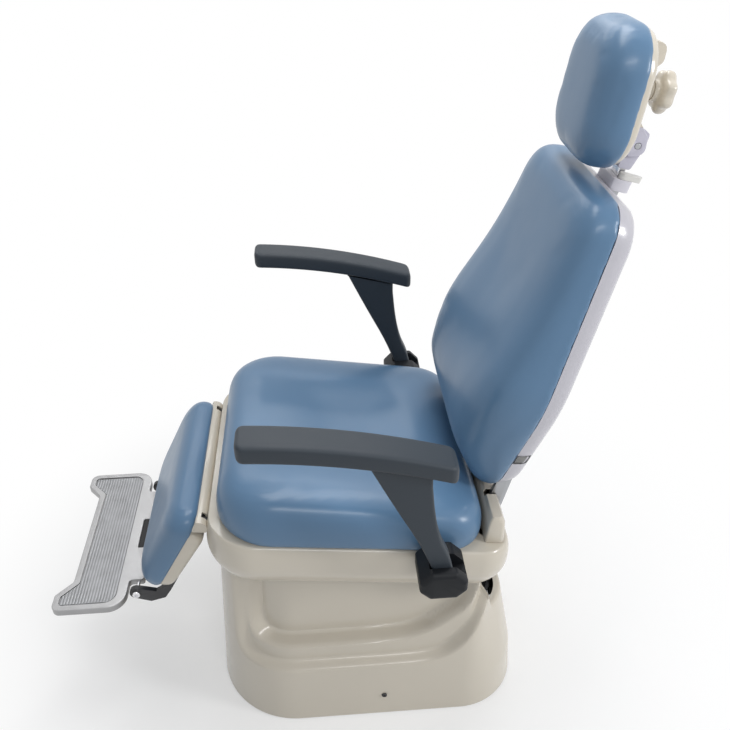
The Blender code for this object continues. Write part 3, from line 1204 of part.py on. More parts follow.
def build_footplate(foot, finishes):
    """The cast footplate: ears at both ends, a recessed front edge, and a neck back to its hinge."""
    front, recess_x, rear, tail = -FOOT_LENGTH, -FOOT_LENGTH + FOOT_RECESS, -FOOT_REAR, FOOT_NECK_TAIL
    half, kink, neck = FOOT_HALF_WIDTH, FOOT_RECESS_HALF_WIDTH, FOOT_NECK_HALF_WIDTH
    notch = FOOT_NOTCH_HALF_WIDTH
    near = [(front, -half), (rear, -half), (rear, -neck), (tail, -neck), (tail, -notch),
            (tail - FOOT_NOTCH_DEPTH, -notch)]
    far = [(x, -y) for x, y in reversed(near)]
    corners = near + far + [(front, kink + FOOT_RECESS_SLOPE), (recess_x, kink), (recess_x, -kink),
                            (front, -kink - FOOT_RECESS_SLOPE)]
    big, rear_big, small = FOOT_CORNER_RADIUS, FOOT_REAR_CORNER_RADIUS, 0.004
    radii = [big, rear_big, 0.006, small, 0.002, 0.002, 0.002, 0.002, small, 0.006, rear_big, big, 0.006,
             0.010, 0.010, 0.006]
    outline = rounded_polygon(corners, radii, 4)
    half_up = 0.5 * FOOT_THICKNESS
    tread = make("footplate", (plane_z(outline, -half_up), plane_z(outline, half_up)),
                 finishes["aluminium"], foot)
    grip_end = FOOT_NECK_HALF_WIDTH - FOOT_BOLT_GRIP
    plate_out = MOVING_PLATE_INSIDE + MOVING_PLATE_THICKNESS
    for name, side in SIDES:
        drill = rod("foot_bolt_bore_" + name, 0, 0, bore(FOOT_BOLT_RADIUS),
                    *sorted((side * (grip_end - 0.002),
                             side * (FOOT_NECK_HALF_WIDTH + 0.01))), finishes["black"], foot)
        combine(tread, drill, "DIFFERENCE")
        seat_y = plate_out + GAP
        rings = [plane_y(circle(0, 0, radius), side * y) for radius, y in (
            (FOOT_BOLT_RADIUS, grip_end), (FOOT_BOLT_RADIUS, seat_y), (FOOT_BOLT_HEAD_RADIUS, seat_y),
            (FOOT_BOLT_HEAD_RADIUS, seat_y + 0.7 * FOOT_BOLT_HEAD_HEIGHT),
            (0.75 * FOOT_BOLT_HEAD_RADIUS, seat_y + FOOT_BOLT_HEAD_HEIGHT))]
        make("footplate_bolt_" + name, rings, finishes["chrome"], foot)


def pad_height(x):
    """The height of the arm pad's centre line above the arm pivot, arched and falling to the rear."""
    share = (x - ARM_PAD_FRONT) / ARM_PAD_LENGTH
    return ARM_PAD_HEIGHT - ARM_PAD_DROP * share - ARM_PAD_CURVE * share * share


def build_arm(name, side, arm, seat_arm, finishes):
    """One arm: a knuckle on the seat, a pin, the blade post and the pad."""
    middle_y = 0.5 * SKIRT_WIDTH + ARM_STANDOFF
    centre = side * middle_y
    half = 0.5 * ARM_POST_THICKNESS
    share = np.array((0.0, 0.02, 0.07, 0.16, 0.32, 0.50, 0.68, 0.84, 0.93, 0.98, 1.0))
    rings = []
    for t in share:
        x = ARM_PAD_FRONT + ARM_PAD_LENGTH * t
        end = min(t, 1.0 - t)
        size = 1.0 - 0.42 * (1.0 - smooth(end / 0.09))
        angles = 2 * pi * np.arange(14) / 14
        squareness = 0.55
        across = np.sign(np.cos(angles)) * np.abs(np.cos(angles)) ** squareness
        upward = np.sign(np.sin(angles)) * np.abs(np.sin(angles)) ** squareness
        y = centre + 0.5 * ARM_PAD_WIDTH * size * across
        z = pad_height(x) + 0.5 * ARM_PAD_THICKNESS * (0.75 + 0.25 * size) * upward
        rings.append(np.column_stack((np.full(14, x), y, z)))
    make("arm_pad_" + name, rings, finishes["slate"], arm)

    top_x = np.linspace(ARM_POST_REAR, ARM_POST_FRONT, 5)
    top = np.column_stack((top_x, pad_height(top_x) - 0.5 * ARM_PAD_THICKNESS - 2 * GAP))
    tongue = circle(0, 0, ARM_TONGUE_RADIUS, 8, radians(160), radians(220))
    outline = np.vstack((((0.010, 0.036), (-0.006, ARM_POST_WAIST), (-0.018, 0.135)), top,
                         ((-0.085, 0.160), (-0.042, ARM_POST_WAIST)), tongue))
    post = plate("arm_post_" + name, outline, centre - half, centre + half, finishes["slate"], arm)

    plate_out = 0.5 * SKIRT_WIDTH + GAP + OUTRIGGER_PLATE + GAP
    outer = middle_y + half + GAP + KNUCKLE_OUTER_CHEEK
    size, top_z, low_z = KNUCKLE_HALF_LENGTH, KNUCKLE_RISE, -KNUCKLE_DROP
    cut, top_cut = KNUCKLE_CORNER, KNUCKLE_TOP_CORNER
    octagon = np.array(((-size, low_z + cut), (-size + cut, low_z), (size - cut, low_z),
                        (size, low_z + cut),
                        (size, top_z - top_cut), (size - top_cut, top_z), (top_cut - size, top_z),
                        (-size, top_z - top_cut)))
    middle = np.array((0.0, 0.5 * (top_z + low_z)))
    face = middle + (octagon - middle) * (size - KNUCKLE_CHAMFER) / size
    rings = [plane_y(octagon, side * plate_out), plane_y(octagon, side * (outer - KNUCKLE_CHAMFER)),
             plane_y(face, side * outer)]
    knuckle = make("arm_knuckle_" + name, rings, finishes["dark"], seat_arm)
    rest = atan2(ARM_POST_WAIST, -0.024)
    radius, far = ARM_TONGUE_RADIUS + GAP, 3.0 * KNUCKLE_DROP
    folded = rest - ARM_SWING - KNUCKLE_SLOT_LEAN
    left, down = rest + 0.5 * pi, folded - 0.5 * pi
    around = circle(0, 0, radius, 10, left, down + 2 * pi - left)
    direction = np.array((cos(rest), sin(rest)))
    after = np.array((cos(folded), sin(folded)))
    front_side = np.array((cos(left), sin(left)))
    mouth = np.vstack((around, (around[-1] + far * after,), (far * (direction + after),),
                       (around[0] + far * (direction + KNUCKLE_SLOT_FLARE * front_side),)))
    slot = plate("arm_slot_" + name, mouth, centre - half - GAP, centre + half + GAP, finishes["black"],
                 seat_arm)
    combine(knuckle, slot, "DIFFERENCE")
    pin = sorted((side * (plate_out + 0.012), side * (outer - 0.006)))
    rod("arm_pin_" + name, 0, 0, ARM_PIN_RADIUS, *pin, finishes["grey_steel"], seat_arm)
    hole = rod("arm_pin_hole_" + name, 0, 0, bore(ARM_PIN_RADIUS), pin[0] - GAP, pin[1] + GAP,
               finishes["black"],
               seat_arm)
    combine(knuckle, hole, "DIFFERENCE")
    combine(post, hole, "DIFFERENCE")


def main():
    for item in list(bpy.data.objects):
        bpy.data.objects.remove(item)
    finishes = {
        "cream": finish("cream_gloss_moulding", (0.72, 0.67, 0.58), 0.28),
        "white": finish("white_gloss_moulding", (0.76, 0.75, 0.78), 0.30),
        "lilac": finish("lilac_grey_plastic", (0.52, 0.51, 0.60), 0.38),
        "upholstery": finish("blue_upholstery", (0.13, 0.24, 0.40), 0.42),
        "slate": finish("slate_grey_arm", (0.075, 0.095, 0.125), 0.50),
        "dark": finish("dark_grey_plastic", (0.035, 0.040, 0.048), 0.50),
        "black": finish("black_plastic", (0.02, 0.02, 0.022), 0.50),
        "rubber": finish("black_rubber", (0.018, 0.018, 0.018), 0.75),
        "black_steel": finish("black_painted_steel", (0.025, 0.025, 0.028), 0.45),
        "grey_steel": finish("grey_steel", (0.40, 0.41, 0.43), 0.40, 1.0),
        "grey_plastic": finish("grey_plastic", (0.30, 0.30, 0.31), 0.50),
        "chrome": finish("bright_steel", (0.75, 0.75, 0.77), 0.18, 1.0),
        "aluminium": finish("cast_aluminium", (0.55, 0.56, 0.57), 0.45, 1.0),
        "wood": finish("plywood", (0.55, 0.40, 0.24), 0.70),
    }
    root = Frame("base_origin", 0.0, 0.0)
    lift = Frame("lift_axis", 0.0, 0.0)
    seat = Frame("seat_plane", 0.0, SEAM_HEIGHT, SEAT_TILT)
    back = Frame("recline_axis", BACK_PIVOT_X, BACK_PIVOT_Z, BACK_TILT)
    leg = Frame("legrest_axis", LEG_PIVOT_X, LEG_PIVOT_Z, LEG_TILT)
    foot = Frame("footplate_axis", FOOT_HINGE_X, FOOT_HINGE_Z)
    slide = Frame("headrest_slide", BACK_PIVOT_X, BACK_PIVOT_Z, BACK_TILT)
    head_x, head_z = back.world(BAR_OFFSET, GUIDE_TOP + HEAD_PIVOT_ABOVE_GUIDE)
    head = Frame("headrest_tilt", head_x, head_z, HEAD_TILT)
    knob = Frame("knob_axis", *head.world(0.0, KNOB_UP), HEAD_TILT)
    lever_y = -(0.5 * BAR_WIDTH + 0.6 * COLLAR_WIDE)
    lever = Frame("lock_lever_axis", *back.world(BAR_OFFSET, 0.0), BACK_TILT, lever_y)

    build_base(root, finishes)
    slots = build_seat(root, lift, seat, finishes)
    slots += build_back_hinge(seat, back, finishes)
    shell = build_back(back, finishes)
    build_headrest(back, slide, head, knob, lever, shell, finishes)
    build_drive(seat, finishes)
    slots += build_leg_rest(seat, leg, finishes)
    build_skirt(seat, finishes, slots)
    build_footplate(foot, finishes)
    for name, side in SIDES:
        arm = Frame("arm_axis_" + name, ARM_PIVOT_X, ARM_PIVOT_Z)
        build_arm(name, side, arm, arm, finishes)


main()
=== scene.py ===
"""An electric ear, nose and throat examination chair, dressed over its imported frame, in metres.

The chair faces -X and stands on the floor at z = 0. Left and right are the sitter's: left is -Y.
"""

import json

import bmesh
import bpy
import numpy as np
from mathutils import Matrix, Vector

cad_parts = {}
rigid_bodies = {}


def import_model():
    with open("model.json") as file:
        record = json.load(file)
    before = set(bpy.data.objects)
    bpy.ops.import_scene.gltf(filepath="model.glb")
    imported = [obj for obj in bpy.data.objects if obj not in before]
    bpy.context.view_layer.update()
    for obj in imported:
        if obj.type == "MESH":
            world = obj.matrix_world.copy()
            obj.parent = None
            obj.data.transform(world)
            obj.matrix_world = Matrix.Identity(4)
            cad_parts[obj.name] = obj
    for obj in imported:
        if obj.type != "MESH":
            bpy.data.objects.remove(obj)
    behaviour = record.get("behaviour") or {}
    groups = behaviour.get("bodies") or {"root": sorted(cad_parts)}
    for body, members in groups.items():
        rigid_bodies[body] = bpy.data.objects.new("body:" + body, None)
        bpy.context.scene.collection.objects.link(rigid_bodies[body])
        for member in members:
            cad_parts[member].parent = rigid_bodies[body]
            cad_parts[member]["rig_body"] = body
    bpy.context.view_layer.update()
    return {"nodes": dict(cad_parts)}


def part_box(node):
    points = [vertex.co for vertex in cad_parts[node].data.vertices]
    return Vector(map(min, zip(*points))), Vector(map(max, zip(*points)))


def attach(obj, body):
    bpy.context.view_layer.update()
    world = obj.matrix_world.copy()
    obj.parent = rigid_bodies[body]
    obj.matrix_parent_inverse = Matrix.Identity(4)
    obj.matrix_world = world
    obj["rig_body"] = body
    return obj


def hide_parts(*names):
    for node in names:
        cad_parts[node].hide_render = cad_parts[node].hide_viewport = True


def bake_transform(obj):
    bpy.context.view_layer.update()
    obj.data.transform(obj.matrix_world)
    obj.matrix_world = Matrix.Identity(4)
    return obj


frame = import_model()
nodes = frame["nodes"]
scene = bpy.context.scene


# Studio: a pale floor that runs out to white, oblong lights overhead, on the near and the far side and
# at the right, and the camera at the height of a standing person's eyes.
def set_inputs(node, values):
    """Set a node's inputs, given by name or by number."""
    for key, value in values.items():
        node.inputs[key].default_value = value
    return node


def added(tree, kind, operation=None, values=None):
    """A new shader node with its operation and its inputs set."""
    node = tree.nodes.new("ShaderNode" + kind)
    if operation:
        node.operation = operation
    return set_inputs(node, values or {})


def wire(tree, *joints):
    """Join outputs to inputs, each joint given as a node, its output, a node and its input."""
    for start, output, end, socket in joints:
        tree.links.new(start.outputs[output], end.inputs[socket])


def plain_material(name):
    """A new material with its node tree and its shader node."""
    material = bpy.data.materials.new(name)
    material.use_nodes = True
    return material, material.node_tree, material.node_tree.nodes["Principled BSDF"]


def linked(name, data):
    """A new object in the scene for a mesh, a camera or a lamp."""
    piece = bpy.data.objects.new(name, data)
    scene.collection.objects.link(piece)
    return piece


def background_rays(tree):
    """The larger of three flags, for rays from the camera, mirrored and passed-on rays: they meet white."""
    path = added(tree, "LightPath")
    seen, output = path, "Is Camera Ray"
    for flag in ("Is Glossy Ray", "Is Transmission Ray"):
        either = added(tree, "Math", "MAXIMUM")
        wire(tree, (seen, output, either, 0), (path, flag, either, 1))
        seen, output = either, "Value"
    return seen


def studio():
    """The camera from its three axes, the floor, the world and five oblong area lights."""
    scene.view_settings.view_transform = "Standard"
    lens = bpy.data.cameras.new("camera")
    lens.sensor_width = 36.0
    lens.lens = 36.0 * 780.0 / 730.0
    camera = linked("camera", lens)
    camera.matrix_world = Matrix((
        (0.9974, 0.0516, -0.0495, -0.0652),
        (-0.0699, 0.5585, -0.8266, -1.2335),
        (-0.0150, 0.8279, 0.5606, 1.5569),
        (0.0, 0.0, 0.0, 1.0),
    ))
    scene.camera = camera

    reach = 20.0
    sheet = bpy.data.meshes.new("floor")
    corners = [(-reach, -reach, 0), (reach, -reach, 0), (reach, reach, 0), (-reach, reach, 0)]
    sheet.from_pydata(corners, [], [(0, 1, 2, 3)])
    floor = linked("floor", sheet)
    paper, tree, shader = plain_material("pale_floor")
    set_inputs(shader, {"Base Color": (0.94, 0.94, 0.94, 1.0), "Roughness": 0.9, "Specular IOR Level": 0.1})
    place = added(tree, "TexCoord")
    away = added(tree, "VectorMath", "LENGTH")
    fade = added(tree, "MapRange", values={"From Min": 0.45, "From Max": 1.1, "To Min": 0.40})
    fade.interpolation_type = "SMOOTHSTEP"
    seen = added(tree, "Math", "MULTIPLY")
    white = added(tree, "Emission")
    blend = added(tree, "MixShader")
    wire(tree, (place, "Object", away, 0), (away, "Value", fade, "Value"), (fade, "Result", seen, 0),
         (background_rays(tree), "Value", seen, 1), (seen, "Value", blend, "Fac"),
         (shader, "BSDF", blend, 1), (white, "Emission", blend, 2),
         (blend, "Shader", tree.nodes["Material Output"], "Surface"))
    sheet.materials.append(paper)

    world = bpy.data.worlds.new("studio")
    world.use_nodes = True
    tree = world.node_tree
    sky = set_inputs(tree.nodes["Background"], {"Color": (0.94, 0.97, 1.0, 1.0), "Strength": 0.34})
    backdrop = added(tree, "Background", values={"Color": (1.0, 1.0, 1.0, 1.0)})
    blend = added(tree, "MixShader")
    wire(tree, (background_rays(tree), "Value", blend, "Fac"), (sky, "Background", blend, 1),
         (backdrop, "Background", blend, 2), (blend, "Shader", tree.nodes["World Output"], "Surface"))
    scene.world = world

    for name, at, aim, size, power in (
        ("overhead_light", (0.30, 0.35, 2.9), (0.0, 0.0, 0.5), (0.5, 1.8), 22.0),
        ("rim_light", (-0.1, 1.7, 3.0), (0.0, 0.0, 0.7), (2.4, 0.22), 13.0),
        ("near_light", (0.5, -2.4, 2.8), (0.0, 0.0, 0.5), (1.4, 0.5), 22.0),
        ("far_light", (-0.3, 2.4, 2.5), (0.0, 0.0, 0.7), (2.6, 0.16), 9.0),
        ("side_light", (2.7, -1.2, 1.8), (0.2, 0.0, 0.7), (0.6, 0.8), 36.0),
    ):
        lamp = bpy.data.lights.new(name, "AREA")
        lamp.shape = "RECTANGLE"
        lamp.size, lamp.size_y = size
        lamp.energy = power
        light = linked(name, lamp)
        light.location = at
        light.rotation_euler = (Vector(aim) - Vector(at)).to_track_quat("-Z", "Y").to_euler()


studio()


# Lift inside the base: a welded steel floor plate, a square guide tower with the column that slides in it, a
# hydraulic cylinder with its plated rod, the pump unit and a plastic control box, all hidden by the cover.
def node_group(name, takes, gives):
    """An empty node group for a colour and some numbers, with its two end nodes."""
    group = bpy.data.node_groups.new(name, "ShaderNodeTree")
    for way, labels in (("INPUT", takes), ("OUTPUT", gives)):
        for label in labels:
            kind = "NodeSocketColor" if label == "Colour" else "NodeSocketFloat"
            group.interface.new_socket(label, in_out=way, socket_type=kind)
    return group, group.nodes.new("NodeGroupInput"), group.nodes.new("NodeGroupOutput")


def drift_group():
    """A wide noise moves colour and roughness either way; a fine noise gives the skin its height."""
    group, given, out = node_group(
        "finish_drift", ("Colour", "Drift", "Drift Scale", "Roughness", "Roughness Drift", "Grain Scale"),
        ("Colour", "Roughness", "Height"))
    place = added(group, "TexCoord")
    wide = added(group, "TexNoise", values={"Detail": 4.0})
    fine = added(group, "TexNoise", values={"Detail": 2.0})
    centred = added(group, "Math", "MULTIPLY_ADD", {1: 4.0, 2: -2.0})
    shade = added(group, "Math", "MULTIPLY_ADD", {2: 1.0})
    rough = added(group, "Math", "MULTIPLY_ADD")
    tint = added(group, "VectorMath", "SCALE")
    wire(group, (place, "Object", wide, "Vector"), (place, "Object", fine, "Vector"),
         (given, "Drift Scale", wide, "Scale"), (given, "Grain Scale", fine, "Scale"),
         (wide, "Fac", centred, 0), (centred, "Value", shade, 0), (given, "Drift", shade, 1),
         (centred, "Value", rough, 0), (given, "Roughness Drift", rough, 1), (given, "Roughness", rough, 2),
         (given, "Colour", tint, 0), (shade, "Value", tint, "Scale"), (tint, "Vector", out, "Colour"),
         (rough, "Value", out, "Roughness"), (fine, "Fac", out, "Height"))
    return group


drift = drift_group()


def textured(name, group, values, look, relief):
    """A material whose colour, roughness and skin come from a node group."""
    material, tree, shader = plain_material(name)
    set_inputs(shader, look)
    mix = tree.nodes.new("ShaderNodeGroup")
    mix.node_tree = group
    set_inputs(mix, values)
    bump = added(tree, "Bump", values=relief)
    wire(tree, (mix, "Colour", shader, "Base Color"), (mix, "Roughness", shader, "Roughness"),
         (mix, "Height", bump, "Height"), (bump, "Normal", shader, "Normal"))
    return material


def finish(name, colour, roughness, metal=0.0, shift=0.04, scale=7.0, spread=0.05, grain=700.0,
           depth=0.00004, coat=0.0, shine=0.5):
    """A hard material with the drift group's slow shift of colour and gloss and its fine grain."""
    values = {"Colour": (*colour, 1.0), "Drift": shift, "Drift Scale": scale, "Roughness": roughness,
              "Roughness Drift": spread, "Grain Scale": grain}
    look = {"Metallic": metal, "Specular IOR Level": shine, "Coat Weight": coat, "Coat Roughness": 0.10}
    return textured(name, drift, values, look, {"Distance": depth})


def paint(material, *names):
    """Give CAD nodes that stay as they are their finish."""
    for name in names:
        nodes[name].data.materials.clear()
        nodes[name].data.materials.append(material)


def dress(piece, material, body, *stands_for):
    """Finish a piece, put it on its body, and let it stand for CAD nodes."""
    piece.data.materials.clear()
    piece.data.materials.append(material)
    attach(piece, body)
    if stands_for:
        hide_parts(*stands_for)


def merged(name):
    """A copy of a CAD node's mesh with its points joined and its flat faces made whole."""
    shape = bmesh.new()
    shape.from_mesh(nodes[name].data)
    bmesh.ops.remove_doubles(shape, verts=shape.verts, dist=0.000002)
    bmesh.ops.dissolve_limit(shape, angle_limit=np.radians(0.6), verts=shape.verts, edges=shape.edges)
    return shape


def rounded_copy(name, shape, width):
    """A piece from an edited copy, smooth, with a small round on every sharp edge."""
    mesh = bpy.data.meshes.new(name)
    shape.to_mesh(mesh)
    shape.free()
    mesh.shade_smooth()
    piece = linked(name, mesh)
    bevel = piece.modifiers.new("round", "BEVEL")
    bevel.width = width
    bevel.segments = 3
    bevel.limit_method = "ANGLE"
    bevel.angle_limit = np.radians(38)
    bevel.harden_normals = True
    return piece


def eased(material, width, *names):
    """Stand rounded copies in for CAD nodes."""
    for name in names:
        dress(rounded_copy(name + "_eased", merged(name), width), material, nodes[name]["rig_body"], name)


black_steel = finish("black_painted_steel", (0.022, 0.022, 0.025), 0.42, grain=450.0,
                     depth=0.00006)
grey_steel = finish("turned_steel", (0.42, 0.43, 0.45), 0.36, metal=1.0, scale=30.0,
                    spread=0.08)
bright_steel = finish("plated_steel", (0.74, 0.74, 0.76), 0.16, metal=1.0, spread=0.04)
grey_plastic = finish("control_box_plastic", (0.30, 0.30, 0.31), 0.50)
eased(black_steel, 0.0010, "base_plate")
paint(grey_steel, "guide_tower", "lift_cylinder", "lift_column")
paint(bright_steel, "lift_rod")
paint(black_steel, "pump_unit", "bellows_tray")
paint(grey_plastic, "control_box")


# Base cover: one glossy cream moulding over the whole lift, with a plinth that flares to the floor,
# stepped waist panels in its sides, and a low wall behind. It is screwed to tabs on the floor plate.
def even(points, spacing):
    """The same closed outline with points at equal steps along it."""
    closed = np.vstack((points, points[:1]))
    run = np.concatenate(((0.0,), np.cumsum(np.linalg.norm(np.diff(closed, axis=0), axis=1))))
    count = int(round(run[-1] / spacing))
    steps = run[-1] * np.arange(count) / count
    return np.column_stack((np.interp(steps, run, closed[:, 0]), np.interp(steps, run, closed[:, 1])))


def rounded(corners, radii, spacing=0.006):
    """A counter-clockwise polygon with an arc tangent to both sides at each corner, in equal steps."""
    corners = np.asarray(corners, dtype=float)
    radii = np.asarray(radii, dtype=float)[:, None]
    before = np.roll(corners, 1, axis=0) - corners
    after = np.roll(corners, -1, axis=0) - corners
    before /= np.linalg.norm(before, axis=1)[:, None]
    after /= np.linalg.norm(after, axis=1)[:, None]
    half = 0.5 * np.arccos(np.clip((before * after).sum(axis=1), -1.0, 1.0))[:, None]
    inwards = (before + after) / np.linalg.norm(before + after, axis=1)[:, None]
    centre = corners + inwards * radii / np.sin(half)
    start = corners + before * radii / np.tan(half) - centre
    end = corners + after * radii / np.tan(half) - centre
    first = np.arctan2(start[:, 1], start[:, 0])
    sweep = np.arctan2(start[:, 0] * end[:, 1] - start[:, 1] * end[:, 0], (start * end).sum(axis=1))
    angles = first[:, None] + sweep[:, None] * np.linspace(0.0, 1.0, 40)
    arcs = centre[:, None] + radii[:, None] * np.stack((np.cos(angles), np.sin(angles)), axis=-1)
    return even(arcs.reshape(-1, 2), spacing)


def plan(x0, x1, half, front, rear, spacing=0.006):
    """A plan outline with one corner radius at the front and another at the rear."""
    return rounded(((x0, -half), (x1, -half), (x1, half), (x0, half)), (front, rear, rear, front), spacing)


def outward(points):
    """The outward direction at each point of a counter-clockwise outline."""
    along = np.roll(points, -1, axis=0) - np.roll(points, 1, axis=0)
    normal = np.column_stack((along[:, 1], -along[:, 0]))
    return normal / np.linalg.norm(normal, axis=1)[:, None]


def ease(t):
    """From 0 to 1 with level ends: three t squared less two t cubed."""
    t = np.clip(t, 0.0, 1.0)
    return t * t * (3.0 - 2.0 * t)


def raised(at, up):
    """Plan points joined with their heights."""
    return np.concatenate((at, up[..., None]), axis=-1)


def quads(index):
    """The four corners of every cell in a grid of point numbers."""
    cells = np.stack((index[:-1, :-1], index[:-1, 1:], index[1:, 1:], index[1:, :-1]), axis=-1)
    return cells.reshape(-1, 4).tolist()


def solid(name, points, faces, sharp=None):
    """A piece from points and faces, turned outwards and smooth, but for edges past a sharp angle."""
    mesh = bpy.data.meshes.new(name)
    mesh.from_pydata(points.reshape(-1, 3).tolist(), [], faces)
    shape = bmesh.new()
    shape.from_mesh(mesh)
    bmesh.ops.recalc_face_normals(shape, faces=shape.faces)
    shape.to_mesh(mesh)
    shape.free()
    mesh.shade_smooth()
    if sharp:
        mesh.set_sharp_from_angle(angle=np.radians(sharp))
    return linked(name, mesh)


def skin(name, grid, loop=False, sharp=38.0):
    """A mesh over rows of points, each a closed ring. The rows join end to end, or both ends are capped."""
    index = np.arange(grid.shape[0] * grid.shape[1]).reshape(grid.shape[:2])
    ends = [] if loop else [index[0].tolist(), index[-1].tolist()]
    index = np.hstack((index, index[:, :1]))
    if loop:
        index = np.vstack((index, index[:1]))
    return solid(name, grid, quads(index) + ends, sharp)


seat_tilt = np.radians(6.8)
seam_height = 0.4865


def pan_height(x):
    """The height of the seat's under pan, a plane that falls to the rear with the seat."""
    return seam_height - 0.100 / np.cos(seat_tilt) - x * np.tan(seat_tilt)


def within(x, z, sill, front, rear, slope):
    """How deep a point lies inside a waist panel: a soft minimum of the distances to its sill, its front
    edge and its rear edge, which leans back as it rises."""
    softness = 0.020
    sides = (z - sill, x - front, (rear + slope * (z - sill) - x) / (1.0 + slope * slope) ** 0.5)
    sides = np.stack(np.broadcast_arrays(*sides))
    return -softness * np.log(np.exp(-sides / softness).sum(axis=0))


def cover_recess(x, z):
    """How far the wall lies inside the plinth: a step inside each waist panel, and the rear wall's lean."""
    low = within(x, z, sill=0.155, front=-0.286, rear=0.150, slope=0.70)
    high = within(x, z, sill=0.200, front=-0.272, rear=0.100, slope=1.05)
    rear = 0.019 * ease((x - 0.200) / 0.080) * np.clip((z - 0.090) / 0.165, 0.0, 1.0)
    return 0.020 * ease(low / 0.015 + 0.5) + 0.032 * ease(high / 0.016 + 0.5) + rear


def base_cover():
    """Rings of the plan outline, each drawn in by the flare and the recess at its height, then the rim's
    round, the flange inwards and the inner wall down again."""
    wall, rim, flange, flare = 0.004, 0.008, 0.014, 0.075
    foot, panel_top, rear_top = 0.003, 0.228, 0.255
    outline = plan(-0.328, 0.314, 0.270, 0.172, 0.130, 0.0048)
    x = outline[:, 0]
    drop = ease((x - 0.240) / 0.034)
    top = (1.0 - drop) * (pan_height(x) - 0.012) + drop * rear_top
    turn = np.linspace(0.0, 0.5 * np.pi, 7)[1:, None]
    even_rows = np.linspace(foot, panel_top, 98)[:, None] + 0.0 * x
    rising_rows = panel_top + np.linspace(0.0, 1.0, 20)[1:, None] * (top - rim - panel_top)
    outer = np.vstack((even_rows, rising_rows))
    inner = outer[::-2]
    level = np.vstack((outer, top - rim + rim * np.sin(turn), top, top - wall, inner))
    inset = np.vstack((0.0 * outer, rim * (1.0 - np.cos(turn)) + 0.0 * x, flange + 0.0 * x, flange + 0.0 * x,
                       wall + 0.0 * inner))
    total = flare * level + cover_recess(x, level) + inset
    place = outline - outward(outline) * total[..., None]
    return skin("moulded_base_cover", raised(place, level), loop=True)


cream_colour = (0.60, 0.55, 0.465)
cream_base = finish("cream_base_moulding", cream_colour, 0.24, shift=0.025, scale=3.0,
                    spread=0.05, grain=260.0, depth=0.00005, coat=0.25)
dress(base_cover(), cream_base, "base", "base_cover")


# Cover screws: two black socket-head screws, one in each side of the plinth.
# They are turned, with a rounded head and a hexagon socket.
def lathe(name, profile, centre, axis, sides=40, corners=None):
    """A profile of (distance along the axis, radius) turned about the axis through the centre.
    corners gives the number of flats for each ring, or 0 for round."""
    profile = np.asarray(profile, dtype=float)
    axis = np.asarray(axis, dtype=float)
    side = np.cross(axis, (0.0, 0.0, 1.0) if abs(axis[2]) < 0.9 else (1.0, 0.0, 0.0))
    side /= np.linalg.norm(side)
    third = np.cross(axis, side)
    angles = 2.0 * np.pi * np.arange(sides) / sides
    radius = profile[:, 1, None] * np.ones(sides)
    if corners is not None:
        flats = np.asarray(corners, dtype=float)[:, None]
        part = np.pi / np.maximum(flats, 1.0)
        flat = np.cos(part) / np.cos(np.mod(angles, 2.0 * part) - part)
        radius = radius * np.where(flats > 0, flat, 1.0)
    ring = np.cos(angles)[:, None] * side + np.sin(angles)[:, None] * third
    grid = np.asarray(centre) + profile[:, 0, None, None] * axis + radius[..., None] * ring
    return skin(name, grid)


def socket_head(name, centre, axis, radius, height, socket, grip):
    """A shank, a cylindrical head with a rounded edge, and a hexagon socket in its face."""
    bend = np.linspace(0.0, 0.5 * np.pi, 5)
    edge = 0.25 * radius
    rounding = np.column_stack((height - edge + edge * np.sin(bend), radius - edge + edge * np.cos(bend)))
    profile = np.vstack(((-grip, 0.45 * radius), (0.0, 0.45 * radius), (0.0, radius), rounding,
                         (height, socket), (0.4 * height, socket), (0.4 * height, 0.1 * socket)))
    flats = [0] * (len(profile) - 3) + [6, 6, 6]
    return lathe(name, profile, centre, axis, 48, flats)


both_sides = (("left", -1.0), ("right", 1.0))
for name, side in both_sides:
    screw = socket_head("cover_screw_" + name + "_head", (0.021, side * 0.2659, 0.060), (0.0, side, 0.0),
                        radius=0.0055, height=0.0030, socket=0.0027, grip=0.008)
    dress(screw, black_steel, "base", "cover_screw_" + name)


# Mains inlet: a black appliance inlet in the rear of the plinth, a flanged plastic body with a
# recess for the plug and three plated pins.
def lean(points, origin, tilt):
    """Side-view coordinates turned back by the tilt about the lateral axis and moved to the origin."""
    x, y, z = points[..., 0], points[..., 1], points[..., 2]
    forward = origin[0] + x * np.cos(tilt) + z * np.sin(tilt)
    upward = origin[1] + z * np.cos(tilt) - x * np.sin(tilt)
    return np.stack((forward, y, upward), axis=-1)


def upright(x, z, origin, tilt):
    """A world side-view point in a leaned frame."""
    dx, dz = x - origin[0], z - origin[1]
    return dx * np.cos(tilt) - dz * np.sin(tilt), dz * np.cos(tilt) + dx * np.sin(tilt)


def settle(piece):
    """Apply every modifier of a piece to its mesh."""
    seen = piece.evaluated_get(bpy.context.evaluated_depsgraph_get())
    mesh = bpy.data.meshes.new_from_object(seen)
    piece.modifiers.clear()
    piece.data = mesh


def cut(piece, grids):
    """Take solids, each given by its rings, out of a piece."""
    for grid in grids:
        tool = skin("cutter", grid)
        chop = piece.modifiers.new("cut", "BOOLEAN")
        chop.operation = "DIFFERENCE"
        chop.solver = "EXACT"
        chop.object = tool
        settle(piece)
        bpy.data.meshes.remove(tool.data)
    piece.data.shade_smooth()
    piece.data.set_sharp_from_angle(angle=np.radians(38))
    return piece


def box(x, y, z, origin=(0.0, 0.0), tilt=0.0):
    """Two square rings that bound a box given by three pairs of limits in a leaned frame."""
    ring = np.array(((x[0], y[0]), (x[1], y[0]), (x[1], y[1]), (x[0], y[1])))
    grid = np.stack([np.column_stack((ring, np.full(4, level))) for level in z])
    return lean(grid, origin, tilt)


